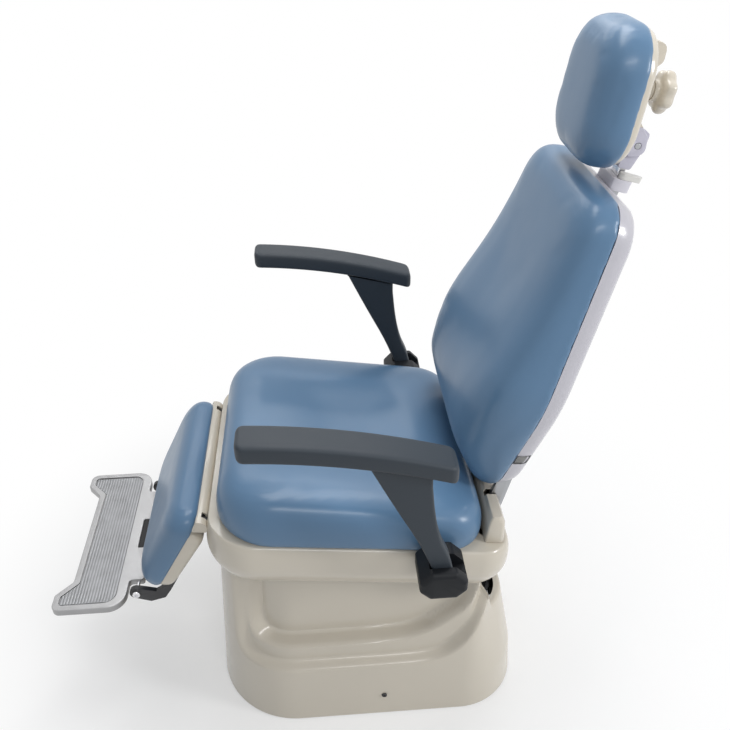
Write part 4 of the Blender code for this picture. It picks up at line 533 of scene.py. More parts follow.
black_plastic = finish("satin_black_plastic", (0.018, 0.018, 0.020), 0.45, grain=1500.0)
inlet_low, inlet_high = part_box("power_inlet")
inlet = plan(-0.027, 0.027, 0.018, 0.004, 0.004, 0.002)
behind, face = inlet_low.x + 0.012, inlet_high.x
steps = ((behind, 0.85), (face - 0.004, 0.85), (face - 0.004, 1.0), (face - 0.001, 1.0), (face, 0.97))
rings = [np.column_stack((np.full(len(inlet), x), inlet * grow + (0.0, 0.070))) for x, grow in steps]
socket = skin("mains_inlet", np.stack(rings))
cut(socket, [box((face - 0.014, face + 0.01), (-0.0125, 0.0125), (0.0615, 0.0785))])
dress(socket, black_plastic, "base", "power_inlet")
for name, y, z in (("line", -0.007, 0.068), ("earth", 0.0, 0.0725), ("neutral", 0.007, 0.068)):
    pin = lathe("inlet_pin_" + name, ((-0.012, 0.0014), (-0.003, 0.0014), (-0.0022, 0.0008)), (face, y, z),
                (1.0, 0.0, 0.0), 16)
    dress(pin, bright_steel, "base")


# Lift bellows: a moulded black rubber skirt with three folds, standing on the tray round the guide tower and
# fixed under the seat. It stretches as the seat rises; here it is drawn at one height and rides on no body.
def bellows():
    """Rings of the plan outline from the tray to the under pan, drawn in by a cosine wave of three folds."""
    outline = plan(-0.245, 0.256, 0.168, 0.110, 0.060, 0.008)
    share = np.linspace(0.0, 1.0, 85)
    share = np.concatenate((share, share[::-1]))[:, None]
    wall = np.repeat((0.0, 0.003), 85)[:, None]
    inset = 0.010 * (0.5 - 0.5 * np.cos(2.0 * np.pi * 3.0 * share)) + wall
    place = outline - outward(outline) * inset[..., None]
    foot = 0.2264
    level = foot + share * (pan_height(place[..., 0]) - 0.0004 - foot)
    return skin("folded_bellows", raised(place, level), loop=True)


rubber = finish("moulded_rubber", (0.016, 0.016, 0.016), 0.70, shift=0.10, scale=12.0,
                grain=900.0, depth=0.00008)
folds = bellows()
folds.data.materials.append(rubber)
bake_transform(folds)
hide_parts("lift_bellows")


# Seat frame: a deep welded steel plate with outriggers that reach out to the arms, a plywood board that
# carries the cushion, and a thin plastic pan that closes the seat from below.
plywood = finish("birch_plywood", (0.52, 0.37, 0.22), 0.65, shift=0.14, scale=22.0, grain=300.0,
                 depth=0.0001)
eased(black_steel, 0.0008, "seat_frame")
paint(plywood, "seat_board")
paint(black_plastic, "seat_underpan")


# Seat skirt: a glossy cream moulding round the seat, belly outwards, with a flange that carries the
# cushion's edge and slots where the hinge plates and the outriggers pass.
seat_at = (0.0, seam_height)
leg_at = (-0.317, 0.500)
back_at = (0.232, 0.450)
arm_at = (0.117, 0.507)


def skirt():
    """The profile, a quarter sine from the drawn-in foot to the belly and a quarter circle to the top,
    squarer at the front, set round the plan outline; then the flange to the opening, the lip and the
    inner wall."""
    outline = plan(-0.303, 0.272, 0.265, 0.095, 0.064)
    normal = outward(outline)
    quarter = np.linspace(0.0, 0.5 * np.pi, 22)
    bulge = np.column_stack((0.024 * (1.0 - np.sin(quarter)),
                             -0.100 * (1.0 - 0.55 * quarter / quarter[-1])))
    crown = np.column_stack((0.014 * (1.0 - np.cos(quarter)), -0.045 * (1.0 - np.sin(quarter))))[1:]
    square = np.where(normal[:, 0] < 0.0, 1.0 - 0.7 * normal[:, 0] ** 2, 1.0)
    drawn = np.vstack((bulge[:, :1] + 0.0 * square, crown[:, :1] * square))
    height = np.concatenate((bulge[:, 1], crown[:, 1]))
    flange = np.where(normal[:, 0] < 0.0, 0.053, 0.0265) * normal[:, 0] ** 2 + 0.061 * normal[:, 1] ** 2
    wall, lip = 0.004, 0.012
    inset = np.vstack((drawn, flange, flange, flange - wall, flange - wall, drawn[::-1] + wall))
    under = height[::-1] - wall * (height[::-1] > -0.02)
    level = np.concatenate((height, (0.0, -lip, -lip, -wall), under))
    place = outline - normal * inset[..., None]
    grid = raised(place, np.broadcast_to(level[:, None], place.shape[:2]))
    return skin("moulded_seat_skirt", lean(grid, seat_at, seat_tilt), loop=True)


def band(side, near, far):
    """The limits of a strip on one side of the chair."""
    return sorted((side * near, side * far))


def hollowed(piece, limits, origin, tilt):
    """Take boxes in a leaned frame out of a piece."""
    return cut(piece, [box(*each, origin, tilt) for each in limits])


cream = finish("cream_gloss_moulding", cream_colour, 0.24, shift=0.02, scale=4.0,
               spread=0.04, grain=260.0, depth=0.00004, coat=0.25)
leg_z = upright(*leg_at, seat_at, seat_tilt)[1]
back_x, back_z = upright(*back_at, seat_at, seat_tilt)
arm_x = upright(*arm_at, seat_at, seat_tilt)[0]
cover_radius, cover_x = 0.070, 0.2145 + 0.0195
cover_top = back_z + (cover_radius ** 2 - (cover_x - back_x) ** 2) ** 0.5
slots = [((-0.323, -0.260), strip, (-0.110, leg_z + 0.0103))
         for strip in ((-0.1728, -0.148), (0.1382, 0.1728))]
for name, side in both_sides:
    slots.append(((arm_x - 0.0254, arm_x + 0.0254), band(side, 0.225, 0.2694), (-0.0253, -0.0125)))
    slots.append(((0.2174, 0.292), band(side, 0.148, 0.162), (back_z - 0.020, cover_top + 0.02)))
    slots.append(((back_x - 0.0175, back_x + 0.0175), band(side, 0.1588, 0.1728), (-0.024, 0.012)))
dress(hollowed(skirt(), slots, seat_at, seat_tilt), cream, "seat", "seat_skirt")


# Seat cushion: moulded foam under a seamless blue vinyl cover, thicker at the front, with a soft rim
# round a slight dish. It lies on the board and on the skirt's flange.
def vinyl_group():
    """Leather grain: small rounded cells from a Voronoi distance, over a slow drift of colour and gloss."""
    group, given, out = node_group("vinyl_grain", ("Colour", "Cell Scale", "Roughness"),
                                   ("Colour", "Roughness", "Height"))
    place = added(group, "TexCoord")
    cells = added(group, "TexVoronoi")
    cells.feature = "SMOOTH_F1"
    slow = added(group, "TexNoise", values={"Scale": 3.0, "Detail": 3.0})
    patch = added(group, "TexNoise", values={"Scale": 26.0, "Detail": 5.0})
    shade = added(group, "MapRange",
                  values={"From Min": 0.3, "From Max": 0.7, "To Min": 0.95, "To Max": 1.05})
    tint = added(group, "VectorMath", "SCALE")
    worn = added(group, "Math", "MULTIPLY_ADD", {1: 0.12})
    for texture in (cells, slow, patch):
        wire(group, (place, "Object", texture, "Vector"))
    wire(group, (given, "Cell Scale", cells, "Scale"), (slow, "Fac", shade, "Value"),
         (given, "Colour", tint, 0), (shade, "Result", tint, "Scale"), (patch, "Fac", worn, 0),
         (given, "Roughness", worn, 2), (tint, "Vector", out, "Colour"), (worn, "Value", out, "Roughness"),
         (cells, "Distance", out, "Height"))
    return group


def softened(profile, passes=3):
    """An open line with its corners cut at a quarter and three quarters of each side, pass after pass."""
    line = np.asarray(profile, dtype=float)
    for _ in range(passes):
        near = 0.75 * line[:-1] + 0.25 * line[1:]
        far = 0.25 * line[:-1] + 0.75 * line[1:]
        middle = np.stack((near, far), axis=1).reshape(-1, line.shape[1])
        line = np.vstack((line[:1], middle, line[-1:]))
    return line


def layered(outline, layers, share):
    """The outline drawn in about its middle, layer by layer, with each point's distance from the seam."""
    centre = 0.5 * (outline.min(axis=0) + outline.max(axis=0))
    half = 0.5 * (outline.max(axis=0) - outline.min(axis=0))
    inset, depth = layers[:, 0], layers[:, 1]
    points = centre + (outline - centre) * ((half - inset[:, None]) / half)[:, None, :]
    return points, depth[:, None] * share(points)


def whole(at):
    """The full depth at every point."""
    return np.ones(at.shape[:2])


def stuffed(name, outline, full, layers, place, share=whole, dish=0.0, swell=0.0012, voxel=0.005):
    """A pad's start shape: the softened layers, as shares of the full depth and a little too small away
    from the seam, then rings that close over its top, which a dish lowers. Cloth under pressure swells
    it to size."""
    line = softened([(inset, full * part) for inset, part in layers])
    away = ease(line[:, 1] / (0.25 * full))
    line[:, 0] += swell * away
    line[:, 1] -= swell * away
    line = np.vstack(((line[0, 0] + 0.002, -0.003), line))
    points, depth = layered(outline, line, share)
    centre = 0.5 * (outline.min(axis=0) + outline.max(axis=0))
    closing = np.linspace(1.0, 0.03, 16)[1:, None, None]
    top = centre + (points[-1] - centre) * closing
    sunk = (full - swell) * share(top) - dish * ease(1.15 * (1.0 - closing[..., 0]))
    piece = skin(name, place(np.concatenate((points, top)), np.concatenate((depth, sunk))))
    seam = place(outline[None], np.zeros((1, len(outline))))[0, 0]
    normal = place(outline[None], np.ones((1, len(outline))))[0, 0] - seam
    return inflated(piece, seam, normal, swell, voxel)


def as_rows(vectors, key):
    """A mesh's vectors as rows of three."""
    flat = np.empty(len(vectors) * 3)
    vectors.foreach_get(key, flat)
    return flat.reshape(-1, 3)


def inflated(piece, seam, normal, swell, voxel):
    """Remesh a closed pad, press it out from inside with its seam held, and cap how far a point moves."""
    grid = piece.modifiers.new("grid", "REMESH")
    grid.mode = "VOXEL"
    grid.voxel_size = voxel
    settle(piece)
    start = as_rows(piece.data.vertices, "co")
    lift = (start - seam) @ normal
    held = piece.vertex_groups.new(name="seam")
    held.add(np.flatnonzero(lift < 1.2 * voxel).tolist(), 1.0, "REPLACE")
    cloth = piece.modifiers.new("stuffing", "CLOTH")
    cloth.settings.use_pressure = True
    cloth.settings.uniform_pressure_force = 14.0
    cloth.settings.effector_weights.gravity = 0.0
    cloth.settings.vertex_group_mass = "seam"
    for step in range(1, 21):
        scene.frame_set(step)
    settle(piece)
    move = as_rows(piece.data.vertices, "co") - start
    scene.frame_set(1)
    far = np.linalg.norm(move, axis=1)[:, None]
    held_back = ease(lift / (3.0 * voxel))[:, None]
    moved = start + held_back * move * np.minimum(1.0, swell / np.maximum(far, 1e-9))
    piece.data.vertices.foreach_set("co", moved.ravel())
    piece.data.update()
    soft = piece.modifiers.new("even_out", "SMOOTH")
    soft.factor = 0.5
    soft.iterations = 10
    settle(piece)
    piece.data.shade_smooth()
    fine = piece.modifiers.new("fine", "SUBSURF")
    fine.levels = 1
    fine.render_levels = 1
    return piece


def seat_place(at, up):
    """Outline points and a height over the seam, in the seat's leaned frame."""
    return lean(raised(at, up), seat_at, seat_tilt)


def seat_share(at):
    """The thickness over its full value, falling evenly from the front to the rear."""
    front, length, rear_depth, front_depth = -0.290, 0.5025, 0.087, 0.110
    return 1.0 - (at[..., 0] - front) / length * (1.0 - rear_depth / front_depth)


vinyl = textured("blue_vinyl", vinyl_group(),
                 {"Colour": (0.104, 0.200, 0.328, 1.0), "Cell Scale": 900.0, "Roughness": 0.32},
                 {"Specular IOR Level": 0.28, "Coat Weight": 0.26, "Coat Roughness": 0.20},
                 {"Strength": 0.35, "Distance": 0.00006})
seat_pad = stuffed("seat_cushion_cover", plan(-0.290, 0.2130, 0.262, 0.105, 0.070), 0.110,
                   ((0.010, 0.004), (0.003, 0.08), (0.0, 0.28), (0.002, 0.52), (0.010, 0.75), (0.026, 0.905),
                    (0.054, 0.975), (0.110, 1.0)),
                   seat_place, seat_share, dish=0.010, swell=0.0015, voxel=0.0055)
dress(seat_pad, vinyl, "seat", "seat_cushion")


# Hinge cover: a narrow cream box across the rear of the seat that hides the recline hinge. The back's two
# hubs pass through slots in it.
eased(cream, 0.0016, "hinge_cover")


# Recline hinge and drive: flat black steel brackets under the seat, a plated actuator rod on the left that
# pushes the back's lever, and a steel link on the right that takes the motion on to the leg-rest.
eased(black_steel, 0.0008, "back_bracket_left", "back_bracket_right", "legrest_bracket_left",
      "legrest_bracket_right")
eased(black_plastic, 0.0012, "back_actuator")
eased(bright_steel, 0.0006, "back_actuator_rod")
eased(grey_steel, 0.0006, "link_rod", "back_shaft", "legrest_shaft")


# Arm knuckles: dark grey moulded blocks with cut corners on the seat's sides. Each arm's tongue turns
# in its slot on a steel pin.
def slab(name, outline, low, high, radius, place):
    """An outline given its thickness, with a quarter round of the radius along both edges."""
    bend = np.linspace(0.0, 0.5 * np.pi, 6)
    inset = np.concatenate((radius * (1.0 - np.sin(bend)), radius * (1.0 - np.cos(bend))))
    across = np.concatenate((low + radius * (1.0 - np.cos(bend)), high - radius * (1.0 - np.sin(bend))))
    points = outline - outward(outline) * inset[:, None, None]
    return skin(name, place(points, np.broadcast_to(across[:, None], points.shape[:2])), sharp=50.0)


def prism(outline, levels, place):
    """An outline set at two levels, which bound a straight-sided solid."""
    return np.stack([place(outline, np.full(len(outline), level)) for level in levels])


def beside_arm(at, y):
    """Side-view points about the arm pivot, with their place across the chair."""
    return np.stack((at[..., 0] + arm_at[0], y, at[..., 1] + arm_at[1]), axis=-1)


def knuckle(name, side):
    """An eight-sided block with rounded edges, less the room the tongue sweeps from upright to folded."""
    room_radius, reach = 0.0184, 0.144
    outline = rounded(((-0.024, -0.048), (0.024, -0.048), (0.042, -0.030), (0.042, -0.008), (0.022, 0.014),
                       (-0.022, 0.014), (-0.042, -0.008), (-0.042, -0.030)), (0.008,) * 8, 0.0015)
    piece = slab(name, outline, *band(side, 0.2718, 0.3534), 0.009, beside_arm)
    rest = np.arctan2(0.072, -0.024)
    folded = rest - np.radians(98.0)
    turn = np.linspace(rest + 0.5 * np.pi, folded + 1.5 * np.pi, 24)
    around = room_radius * np.column_stack((np.cos(turn), np.sin(turn)))
    along, after = (np.array((np.cos(angle), np.sin(angle))) for angle in (rest, folded))
    front = np.array((-np.sin(rest), np.cos(rest)))
    mouth = np.vstack((around, around[-1] + reach * after, reach * (along + after),
                       around[0] + reach * (along + 0.02 * front)))
    return cut(piece, [prism(mouth, (side * 0.3046, side * 0.3354), beside_arm)])


dark_plastic = finish("dark_grey_plastic", (0.008, 0.0095, 0.012), 0.50, shift=0.06,
                      grain=1400.0, depth=0.00006, shine=0.22)
paint(grey_steel, "arm_pin_left", "arm_pin_right")
for name, side in both_sides:
    dress(knuckle("moulded_knuckle_" + name, side), dark_plastic, "seat", "arm_knuckle_" + name)


# Arms: a slate grey blade post moulded in one with its tongue, and a long flat pad on top that arches
# slightly and falls to the rear. The pad is screwed to the post from below.
pad_front = -0.325
pad_length = 0.340


def pad_centre(x):
    """The height of the pad's centre line over the arm pivot, falling and curving down to the rear."""
    share = (x - pad_front) / pad_length
    return 0.298 - 0.018 * share - 0.050 * share ** 2


def arm_pad(name, centre):
    """Square rounded sections along the arched centre line, which shrink on an arc at both ends."""
    plan_round, edge_round, half, thick = 0.014, 0.008, 0.030, 0.0175
    squareness, count = 0.36, 72
    tip = plan_round * (1.0 - np.cos(np.linspace(0.0, 0.5 * np.pi, 14)))
    middle = np.linspace(plan_round, pad_length - plan_round, 60)[1:-1]
    run = np.concatenate((tip, middle, pad_length - tip[::-1]))
    end = np.minimum(run, pad_length - run)

    def shrink(size, radius):
        """A half size less what an end arc of the radius takes off it, as a column."""
        near = np.clip(radius - end, 0.0, radius)
        return (size - radius + np.sqrt(radius ** 2 - near ** 2))[:, None]

    angles = 2.0 * np.pi * np.arange(count) / count
    across = np.sign(np.cos(angles)) * np.abs(np.cos(angles)) ** squareness
    upward = np.sign(np.sin(angles)) * np.abs(np.sin(angles)) ** squareness
    x = run + pad_front
    grid = np.stack((np.broadcast_to((x + arm_at[0])[:, None], (len(x), count)),
                     centre + shrink(half, plan_round) * across,
                     arm_at[1] + pad_centre(x)[:, None] + shrink(thick, edge_round) * upward), axis=-1)
    return skin(name, grid)


def arm_post(name, centre):
    """A blade outline: the tongue's arc, a softened front edge, the line under the pad and a softened
    rear edge."""
    front_x, rear_x, under_pad, half = -0.127, -0.024, 0.0183, 0.015
    rear = softened(((0.0155, 0.010), (0.010, 0.036), (-0.006, 0.072), (-0.018, 0.135), (rear_x, 0.20)))
    rear[-1, 1] = pad_centre(rear_x) - under_pad
    top_x = np.linspace(rear_x, front_x, 24)[1:]
    top = np.column_stack((top_x, pad_centre(top_x) - under_pad))
    front = softened(((front_x, top[-1, 1]), (-0.085, 0.160), (-0.042, 0.072), (-0.0175, 0.004)))[1:]
    turn = np.radians(np.linspace(166.0, 393.0, 40))
    tongue = 0.018 * np.column_stack((np.cos(turn), np.sin(turn)))
    outline = even(np.vstack((rear, top, front, tongue[1:-1])), 0.003)
    return slab(name, outline, centre - half, centre + half, 0.005, beside_arm)


slate = finish("slate_grey_arm", (0.034, 0.043, 0.054), 0.50, shift=0.04, scale=9.0,
               grain=1300.0, depth=0.00007, shine=0.3)
for name, side in both_sides:
    dress(arm_pad("arm_pad_top_" + name, side * 0.320), slate, "arm_" + name, "arm_pad_" + name)
    dress(arm_post("arm_post_blade_" + name, side * 0.320), slate, "arm_" + name, "arm_post_" + name)


# Back frame: two plain steel hubs turn on the hinge shaft and carry a flat black plate behind the cushion.
# Their lower ends are the levers that the drive rods pin to.
eased(black_steel, 0.0008, "back_frame")
eased(grey_steel, 0.0008, "back_hub_left", "back_hub_right")


# Back cushion: moulded foam under seamless blue vinyl, widest at the hip and thickest at the loin,
# glued to the frame plate with its edge on the shell's rim.
back_tilt = np.radians(16.2)
back_foot = 0.0735
back_outline = rounded(((-0.176, back_foot), (0.176, back_foot), (0.222, 0.300), (0.176, 0.660),
                        (-0.176, 0.660), (-0.222, 0.300)), (0.068, 0.068, 0.300, 0.060, 0.060, 0.300))


def seam_frame(seam, origin, tilt):
    """The placing of outline points at a distance in front of a pad's seam, in a leaned frame."""
    def place(at, forward):
        return lean(np.stack((seam - forward, at[..., 0], at[..., 1]), axis=-1), origin, tilt)

    return place


def back_share(at):
    """The thickness over its full value: a loin swell about 0.23 m up, tucked in towards the bottom."""
    tuck = 1.0 - 0.46 * (1.0 - ease((at[..., 1] - back_foot) / 0.120))
    return tuck * (0.062 + 0.057 * np.exp(-((at[..., 1] - 0.230) / 0.200) ** 2)) / 0.119


back_place = seam_frame(-0.020, back_at, back_tilt)
back_pad = stuffed("back_cushion_cover", back_outline, 0.119,
                   ((0.003, 0.004), (0.001, 0.10), (0.0, 0.34), (0.003, 0.58), (0.010, 0.79), (0.024, 0.92),
                    (0.050, 0.98), (0.100, 1.0)),
                   back_place, back_share, dish=0.004, swell=0.0015, voxel=0.0055)
dress(back_pad, vinyl, "backrest", "back_cushion")


# Back shell: a thin white moulding with a cool tint behind the cushion, its rim turned square and its
# rear gently crowned, with notches for the hubs and a gap for the headrest's guide.
def shell(name, outline, rise, wall, place, share=whole):
    """The softened rise from the rim to the crown behind the seam, then the same line a wall further in,
    capped at both ends."""
    line = softened(rise, 2)
    inside = line.copy()
    inside[:, 0] += wall
    inside[:, 1] -= wall * ease(line[:, 1] / (0.4 * line[-1, 1]))
    points, depth = layered(outline, np.vstack((line[::-1], inside)), share)
    return skin(name, place(points, -depth), sharp=42.0)


white_shell = finish("white_gloss_moulding", (0.50, 0.49, 0.535), 0.27, shift=0.02,
                     scale=4.0, spread=0.04, grain=260.0, depth=0.00004, coat=0.2)
back_cover = shell("moulded_back_shell", back_outline,
                   ((0.006, 0.0004), (0.009, 0.018), (0.018, 0.036), (0.051, 0.0491), (0.091, 0.0595),
                    (0.136, 0.066)), 0.004, back_place)
openings = [((-0.030, 0.066), band(side, 0.148, 0.162), (0.0535, 0.1785)) for name, side in both_sides]
openings.append(((0.0102, 0.0318), (-0.0198, 0.0198), (0.380, 0.695)))
openings.append(((0.0026, 0.0394), (-0.0364, 0.0364), (0.645, 0.695)))
dress(hollowed(back_cover, openings, back_at, back_tilt), white_shell, "backrest", "back_shell")


# Side catches: low on each side of the shell a grey spring plate, which holds the shell to the frame, on a
# black tablet a little larger than it: painted shade, the dark gap of the slot round the plate.
def catch(name, side, x, z, proud):
    """A small rounded tablet on the shell's side wall, which widens with height."""
    outline = rounded(((x[0], z[0]), (x[1], z[0]), (x[1], z[1]), (x[0], z[1])), (0.002,) * 4, 0.001)

    def on_wall(at, out):
        half = np.interp(at[..., 1], (back_foot, 0.300), (0.176, 0.222))
        inset = np.interp(at[..., 0], (-0.020, -0.002, 0.016), (0.006, 0.010, 0.019))
        points = np.stack((at[..., 0], side * (half - inset + out), at[..., 1]), axis=-1)
        return lean(points, back_at, back_tilt)

    return slab(name, outline, -0.004, proud, 0.0004, on_wall)


sprung_grey = finish("catch_plate_plastic", (0.17, 0.17, 0.165), 0.45)
for name, side in both_sides:
    # Black tablet round the plate: painted shade of the slot's gap.
    slot_shade = catch("catch_slot_shade_" + name, side, (-0.019, 0.010), (0.168, 0.191), 0.0010)
    dress(slot_shade, black_plastic, "backrest")
    plate = catch("catch_plate_" + name, side, (-0.019, 0.001), (0.174, 0.191), 0.0020)
    dress(plate, sprung_grey, "backrest")


# Headrest slide: a steel guide tube let into the shell, a grey collar on top with a small lever that
# clamps the plated bar, and a grey bracket at the bar's head that carries the tilt pin.
lilac = finish("lilac_grey_plastic", (0.50, 0.49, 0.575), 0.34, shift=0.03, grain=900.0)
pale_grey = finish("pale_grey_plastic", (0.62, 0.61, 0.665), 0.34, shift=0.03, grain=900.0)
off_white = finish("off_white_lever", (0.68, 0.67, 0.64), 0.30, shift=0.02, grain=900.0)
paint(grey_steel, "headrest_guide")
paint(bright_steel, "headrest_bar")
eased(pale_grey, 0.0026, "headrest_collar")
eased(lilac, 0.0022, "headrest_bracket")
eased(off_white, 0.0044, "lock_lever")
eased(grey_steel, 0.0006, "tilt_pin")


# Headrest: a rounded blue vinyl pad on a shallow cream shell, with a moulded mount behind it
# and a lobed knob on a stud that locks the tilt.
head_tilt = np.radians(9.0)
head_at = lean(np.array((0.021, 0.0, 0.722)), back_at, back_tilt)[[0, 2]]
head_outline = rounded(((-0.112, -0.038), (0.112, -0.038), (0.100, 0.182), (-0.100, 0.182)), (0.070,) * 4,
                       0.004)
head_place = seam_frame(-0.052, head_at, head_tilt)
head_pad = stuffed("headrest_cushion_cover", head_outline, 0.067,
                   ((0.003, 0.006), (0.001, 0.10), (0.0, 0.34), (0.003, 0.60), (0.010, 0.81), (0.024, 0.94),
                    (0.046, 0.99), (0.075, 1.0)), head_place, voxel=0.004)
dress(head_pad, vinyl, "headrest", "headrest_cushion")
head_shell = shell("moulded_headrest_shell", head_outline,
                   ((0.006, 0.0004), (0.008, 0.009), (0.014, 0.0153), (0.028, 0.018)), 0.003, head_place)
dress(head_shell, cream, "headrest", "headrest_shell")


def halves(name, height, origin, tilt, width):
    """A CAD node's upper and lower part, parted by a plane square to the leaned frame's height."""
    level = Vector(lean(np.array((0.0, 0.0, height)), origin, tilt))
    upward = Vector((np.sin(tilt), 0.0, np.cos(tilt)))
    for part, keep in (("_upper", 1.0), ("_lower", -1.0)):
        shape = merged(name)
        geometry = shape.verts[:] + shape.edges[:] + shape.faces[:]
        bmesh.ops.bisect_plane(shape, geom=geometry, plane_co=level, plane_no=keep * upward,
                               clear_inner=True)
        bmesh.ops.holes_fill(shape, edges=[edge for edge in shape.edges if edge.is_boundary])
        yield rounded_copy(name + part, shape, width)


for part, material in zip(halves("headrest_mount", 0.030, head_at, head_tilt, 0.0020), (cream, lilac)):
    dress(part, material, "headrest", "headrest_mount")


def tilt_knob():
    """Rings about the knob's axis: the stud, a neck and a rounded rim whose radius has cosine lobes."""
    angles = 2.0 * np.pi * np.arange(140) / 140
    near, stud, axis_height, lobes = 0.0044, 0.005, 0.082, 7.0
    outer = softened(((0.016, near, 0.0), (0.016, near + 0.0078, 0.0), (0.026, near + 0.0090, 0.8),
                      (0.032, near + 0.0135, 1.0), (0.032, near + 0.0245, 1.0), (0.027, near + 0.0300, 0.8),
                      (0.014, near + 0.0310, 0.1), (0.006, near + 0.0305, 0.0)))
    rings = np.vstack(((stud, -0.020, 0.0), (stud, near, 0.0), outer))
    radius = rings[:, :1] * (1.0 + rings[:, 2:] * 0.070 * np.cos(lobes * angles))
    grid = np.stack((np.broadcast_to(rings[:, 1:2], radius.shape), radius * np.cos(angles),
                     axis_height + radius * np.sin(angles)), axis=-1)
    return skin("lobed_tilt_knob", lean(grid, head_at, head_tilt))


dress(tilt_knob(), cream, "tilt_knob", "tilt_knob")


# Leg-rest: a blue vinyl pad on a cream shell that deepens towards the knee, carried by two black steel
# bars on the hinge shaft, with a curved cream cover over the hinge.
leg_tilt = np.radians(28.5)
leg_outline = rounded(((-0.185, -0.214), (0.185, -0.214), (0.204, 0.020), (-0.204, 0.020)),
                      (0.055, 0.055, 0.040, 0.040))
leg_place = seam_frame(-0.0115, leg_at, leg_tilt)
leg_pad = stuffed("legrest_cushion_cover", leg_outline, 0.050,
                  ((0.003, 0.008), (0.001, 0.12), (0.0, 0.34), (0.004, 0.60), (0.014, 0.83), (0.030, 0.955),
                   (0.060, 1.0)), leg_place)
dress(leg_pad, vinyl, "legrest", "legrest_cushion")


def leg_share(at):
    """The shell's depth over its full value, growing evenly from the foot to the knee."""
    return (0.026 + (at[..., 1] + 0.209) / 0.193 * 0.006) / 0.032


leg_shell_outline = rounded(((-0.180, -0.209), (0.180, -0.209), (0.1961, -0.016), (-0.1961, -0.016)),
                            (0.055, 0.055, 0.012, 0.012), 0.005)
leg_shell = shell("moulded_legrest_shell", leg_shell_outline,
                  ((0.0, 0.0004), (0.001, 0.016), (0.005, 0.0272), (0.014, 0.032)), 0.004, leg_place,
                  leg_share)
channels = [((0.0039, 0.080), band(side, 0.148, 0.162), (-0.229, 0.010)) for name, side in both_sides]
dress(hollowed(leg_shell, channels, leg_at, leg_tilt), cream, "legrest", "legrest_shell")


def on_leg(at, y):
    """Side-view points of the leg-rest, with their place across the chair."""
    return lean(np.stack((at[..., 0], y, at[..., 1]), axis=-1), leg_at, leg_tilt)


def leg_hood():
    """A capped half tube about the hinge axis with a flat foot in front, less room for the brackets."""
    turn = np.radians(np.linspace(-12.0, 133.5, 28))[:, None]
    arc = np.hstack((np.cos(turn), np.sin(turn)))
    outline = np.vstack((0.016 * arc, ((-0.011, -0.014),)))
    piece = slab("curved_legrest_hinge_cover", outline, -0.188, 0.188, 0.0006, on_leg)
    hollow = np.vstack((0.0128 * arc, ((-0.0088, -0.014), (-0.0088, -0.030), (0.030, -0.030))))
    rooms = [prism(hollow, (-0.1855, 0.1855), on_leg)]
    for name, side in both_sides:
        rooms.append(box((-0.0026, 0.030), band(side, 0.1592, 0.1724), (-0.030, 0.030), leg_at, leg_tilt))
    return cut(piece, rooms)


dress(leg_hood(), cream, "legrest", "legrest_hinge_cover")
eased(black_steel, 0.0008, "legrest_bar_left", "legrest_bar_right")


# Footplate: one aluminium casting with a raised border round a ribbed tread, ears at both ends, and a plain
# neck back to the hinge with a rubber buffer let in. It hangs on two plated shoulder bolts.
foot_at = (-0.470, 0.302)


def on_plate(at, up):
    """Plan points and heights about the footplate's hinge."""
    return np.stack((at[..., 0] + foot_at[0], at[..., 1], up + foot_at[1]), axis=-1)


def footplate():
    """The casting's plan outline as a slab with rounded edges, less a shallow pan for the tread."""
    near = [(-0.161, -0.197), (-0.018, -0.197), (-0.018, -0.130), (0.011, -0.130), (0.011, -0.042),
            (-0.0155, -0.042)]
    far = [(x, -y) for x, y in reversed(near)]
    notch = [(-0.161, 0.158), (-0.131, 0.126), (-0.131, -0.126), (-0.161, -0.158)]
    near_radii = (0.016, 0.036, 0.006, 0.004, 0.002, 0.002)
    radii = near_radii + near_radii[::-1] + (0.006, 0.010, 0.010, 0.006)
    outline = rounded(near + far + notch, radii, 0.002)
    piece = slab("cast_footplate", outline, -0.008, 0.008, 0.0019, on_plate)
    pan = rounded(((-0.149, -0.185), (-0.037, -0.185), (-0.037, 0.185), (-0.149, 0.185), (-0.149, 0.163),
                   (-0.118, 0.130), (-0.118, -0.130), (-0.149, -0.163)),
                  (0.008, 0.024, 0.024, 0.008, 0.004, 0.008, 0.008, 0.004), 0.002)
    return cut(piece, [prism(pan, (0.0052, 0.012), on_plate)])


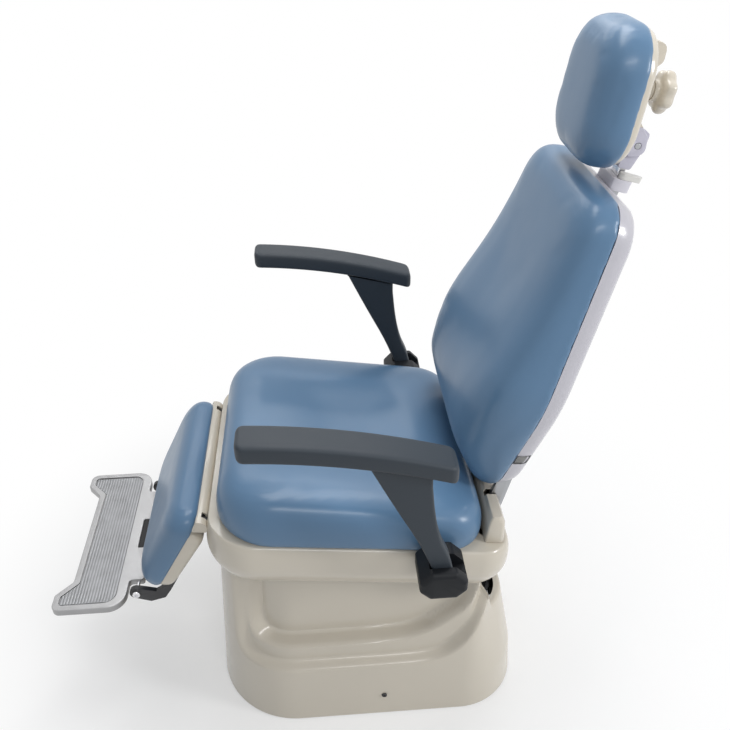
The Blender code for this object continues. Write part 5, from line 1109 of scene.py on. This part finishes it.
def tread():
    """A panel between the pan's front and rear lines. Its height follows a clipped cosine across the plate,
    so the ribs run along it, worn down in slow patches; its rim drops to the pan's floor."""
    bend, rib_spacing, rim_height = 0.022, 0.0060, 0.0054
    y = np.linspace(-0.1832, 0.1832, 260)
    front = np.interp(np.abs(y), (0.1295, 0.1625), (-0.1165, -0.1475))
    corner = np.clip(np.abs(y) - 0.1612, 0.0, bend)
    rear = -0.0388 - bend + np.sqrt(bend ** 2 - corner ** 2)
    share = np.linspace(0.0, 1.0, 220)[:, None]
    x = front + share * (rear - front)
    ribs = np.clip(1.6 * np.cos(2.0 * np.pi * x / rib_spacing) + 0.6, -1.0, 1.0)
    worn = 0.75 + 0.25 * np.sin(61.0 * x + 23.0 * y) * np.sin(17.0 * y - 40.0 * x)
    height = 0.0068 + 0.0003 * ribs * worn
    rim = np.zeros(x.shape, dtype=bool)
    rim[[0, -1]] = True
    rim[:, [0, -1]] = True
    height[rim] = rim_height
    points = on_plate(np.stack((x, np.broadcast_to(y, x.shape)), axis=-1), height)
    index = np.arange(x.size).reshape(x.shape)
    border = np.concatenate((index[0, :-1], index[:-1, -1], index[-1, :0:-1], index[:0:-1, 0]))
    piece = solid("ribbed_tread", points, quads(index) + [border.tolist()])
    # The relief, ribs times wear and -1 on the rim, sets the material's painted shade between the ribs and
    # round the rim.
    relief = piece.data.attributes.new("relief", "FLOAT", "POINT")
    relief.data.foreach_set("value", np.where(rim, -1.0, ribs * worn).ravel())
    return piece


def tread_metal():
    """Cast aluminium with painted shade between the ribs and round the rim, set by the tread's stored
    relief, so the ribs stand out bright.
    """
    material = finish("trodden_aluminium_painted_shade", (0.30, 0.305, 0.315), 0.48, metal=1.0,
                      shift=0.16, scale=42.0, spread=0.08, grain=600.0, depth=0.0002)
    tree = material.node_tree
    shader = tree.nodes["Principled BSDF"]
    mix = shader.inputs["Base Color"].links[0].from_node
    relief = added(tree, "Attribute")
    relief.attribute_name = "relief"
    # Painted shade: the troughs between the ribs and the rim fall to 0.58 of the colour.
    rib_shade = added(tree, "MapRange", values={"From Min": -0.9, "From Max": 0.4, "To Min": 0.58})
    scaled = added(tree, "VectorMath", "SCALE")
    wire(tree, (relief, "Fac", rib_shade, "Value"), (mix, "Colour", scaled, 0),
         (rib_shade, "Result", scaled, "Scale"), (scaled, "Vector", shader, "Base Color"))
    return material


aluminium = finish("sand_cast_aluminium", (0.375, 0.375, 0.38), 0.46, metal=1.0,
                   shift=0.10, scale=26.0, spread=0.10, grain=520.0, depth=0.00025)
dress(footplate(), aluminium, "footplate", "footplate")
dress(tread(), tread_metal(), "footplate")
buffer_outline = plan(-0.0150, 0.0100, 0.0415, 0.002, 0.002, 0.001)
dress(slab("notch_buffer", buffer_outline, -0.007, 0.0076, 0.0015, on_plate), rubber, "footplate")
for name, side in both_sides:
    bolt = socket_head("footplate_bolt_" + name + "_head", (foot_at[0], side * 0.1604, foot_at[1]),
                       (0.0, side, 0.0), radius=0.008, height=0.005, socket=0.0040, grip=0.068)
    dress(bolt, bright_steel, "footplate", "footplate_bolt_" + name)
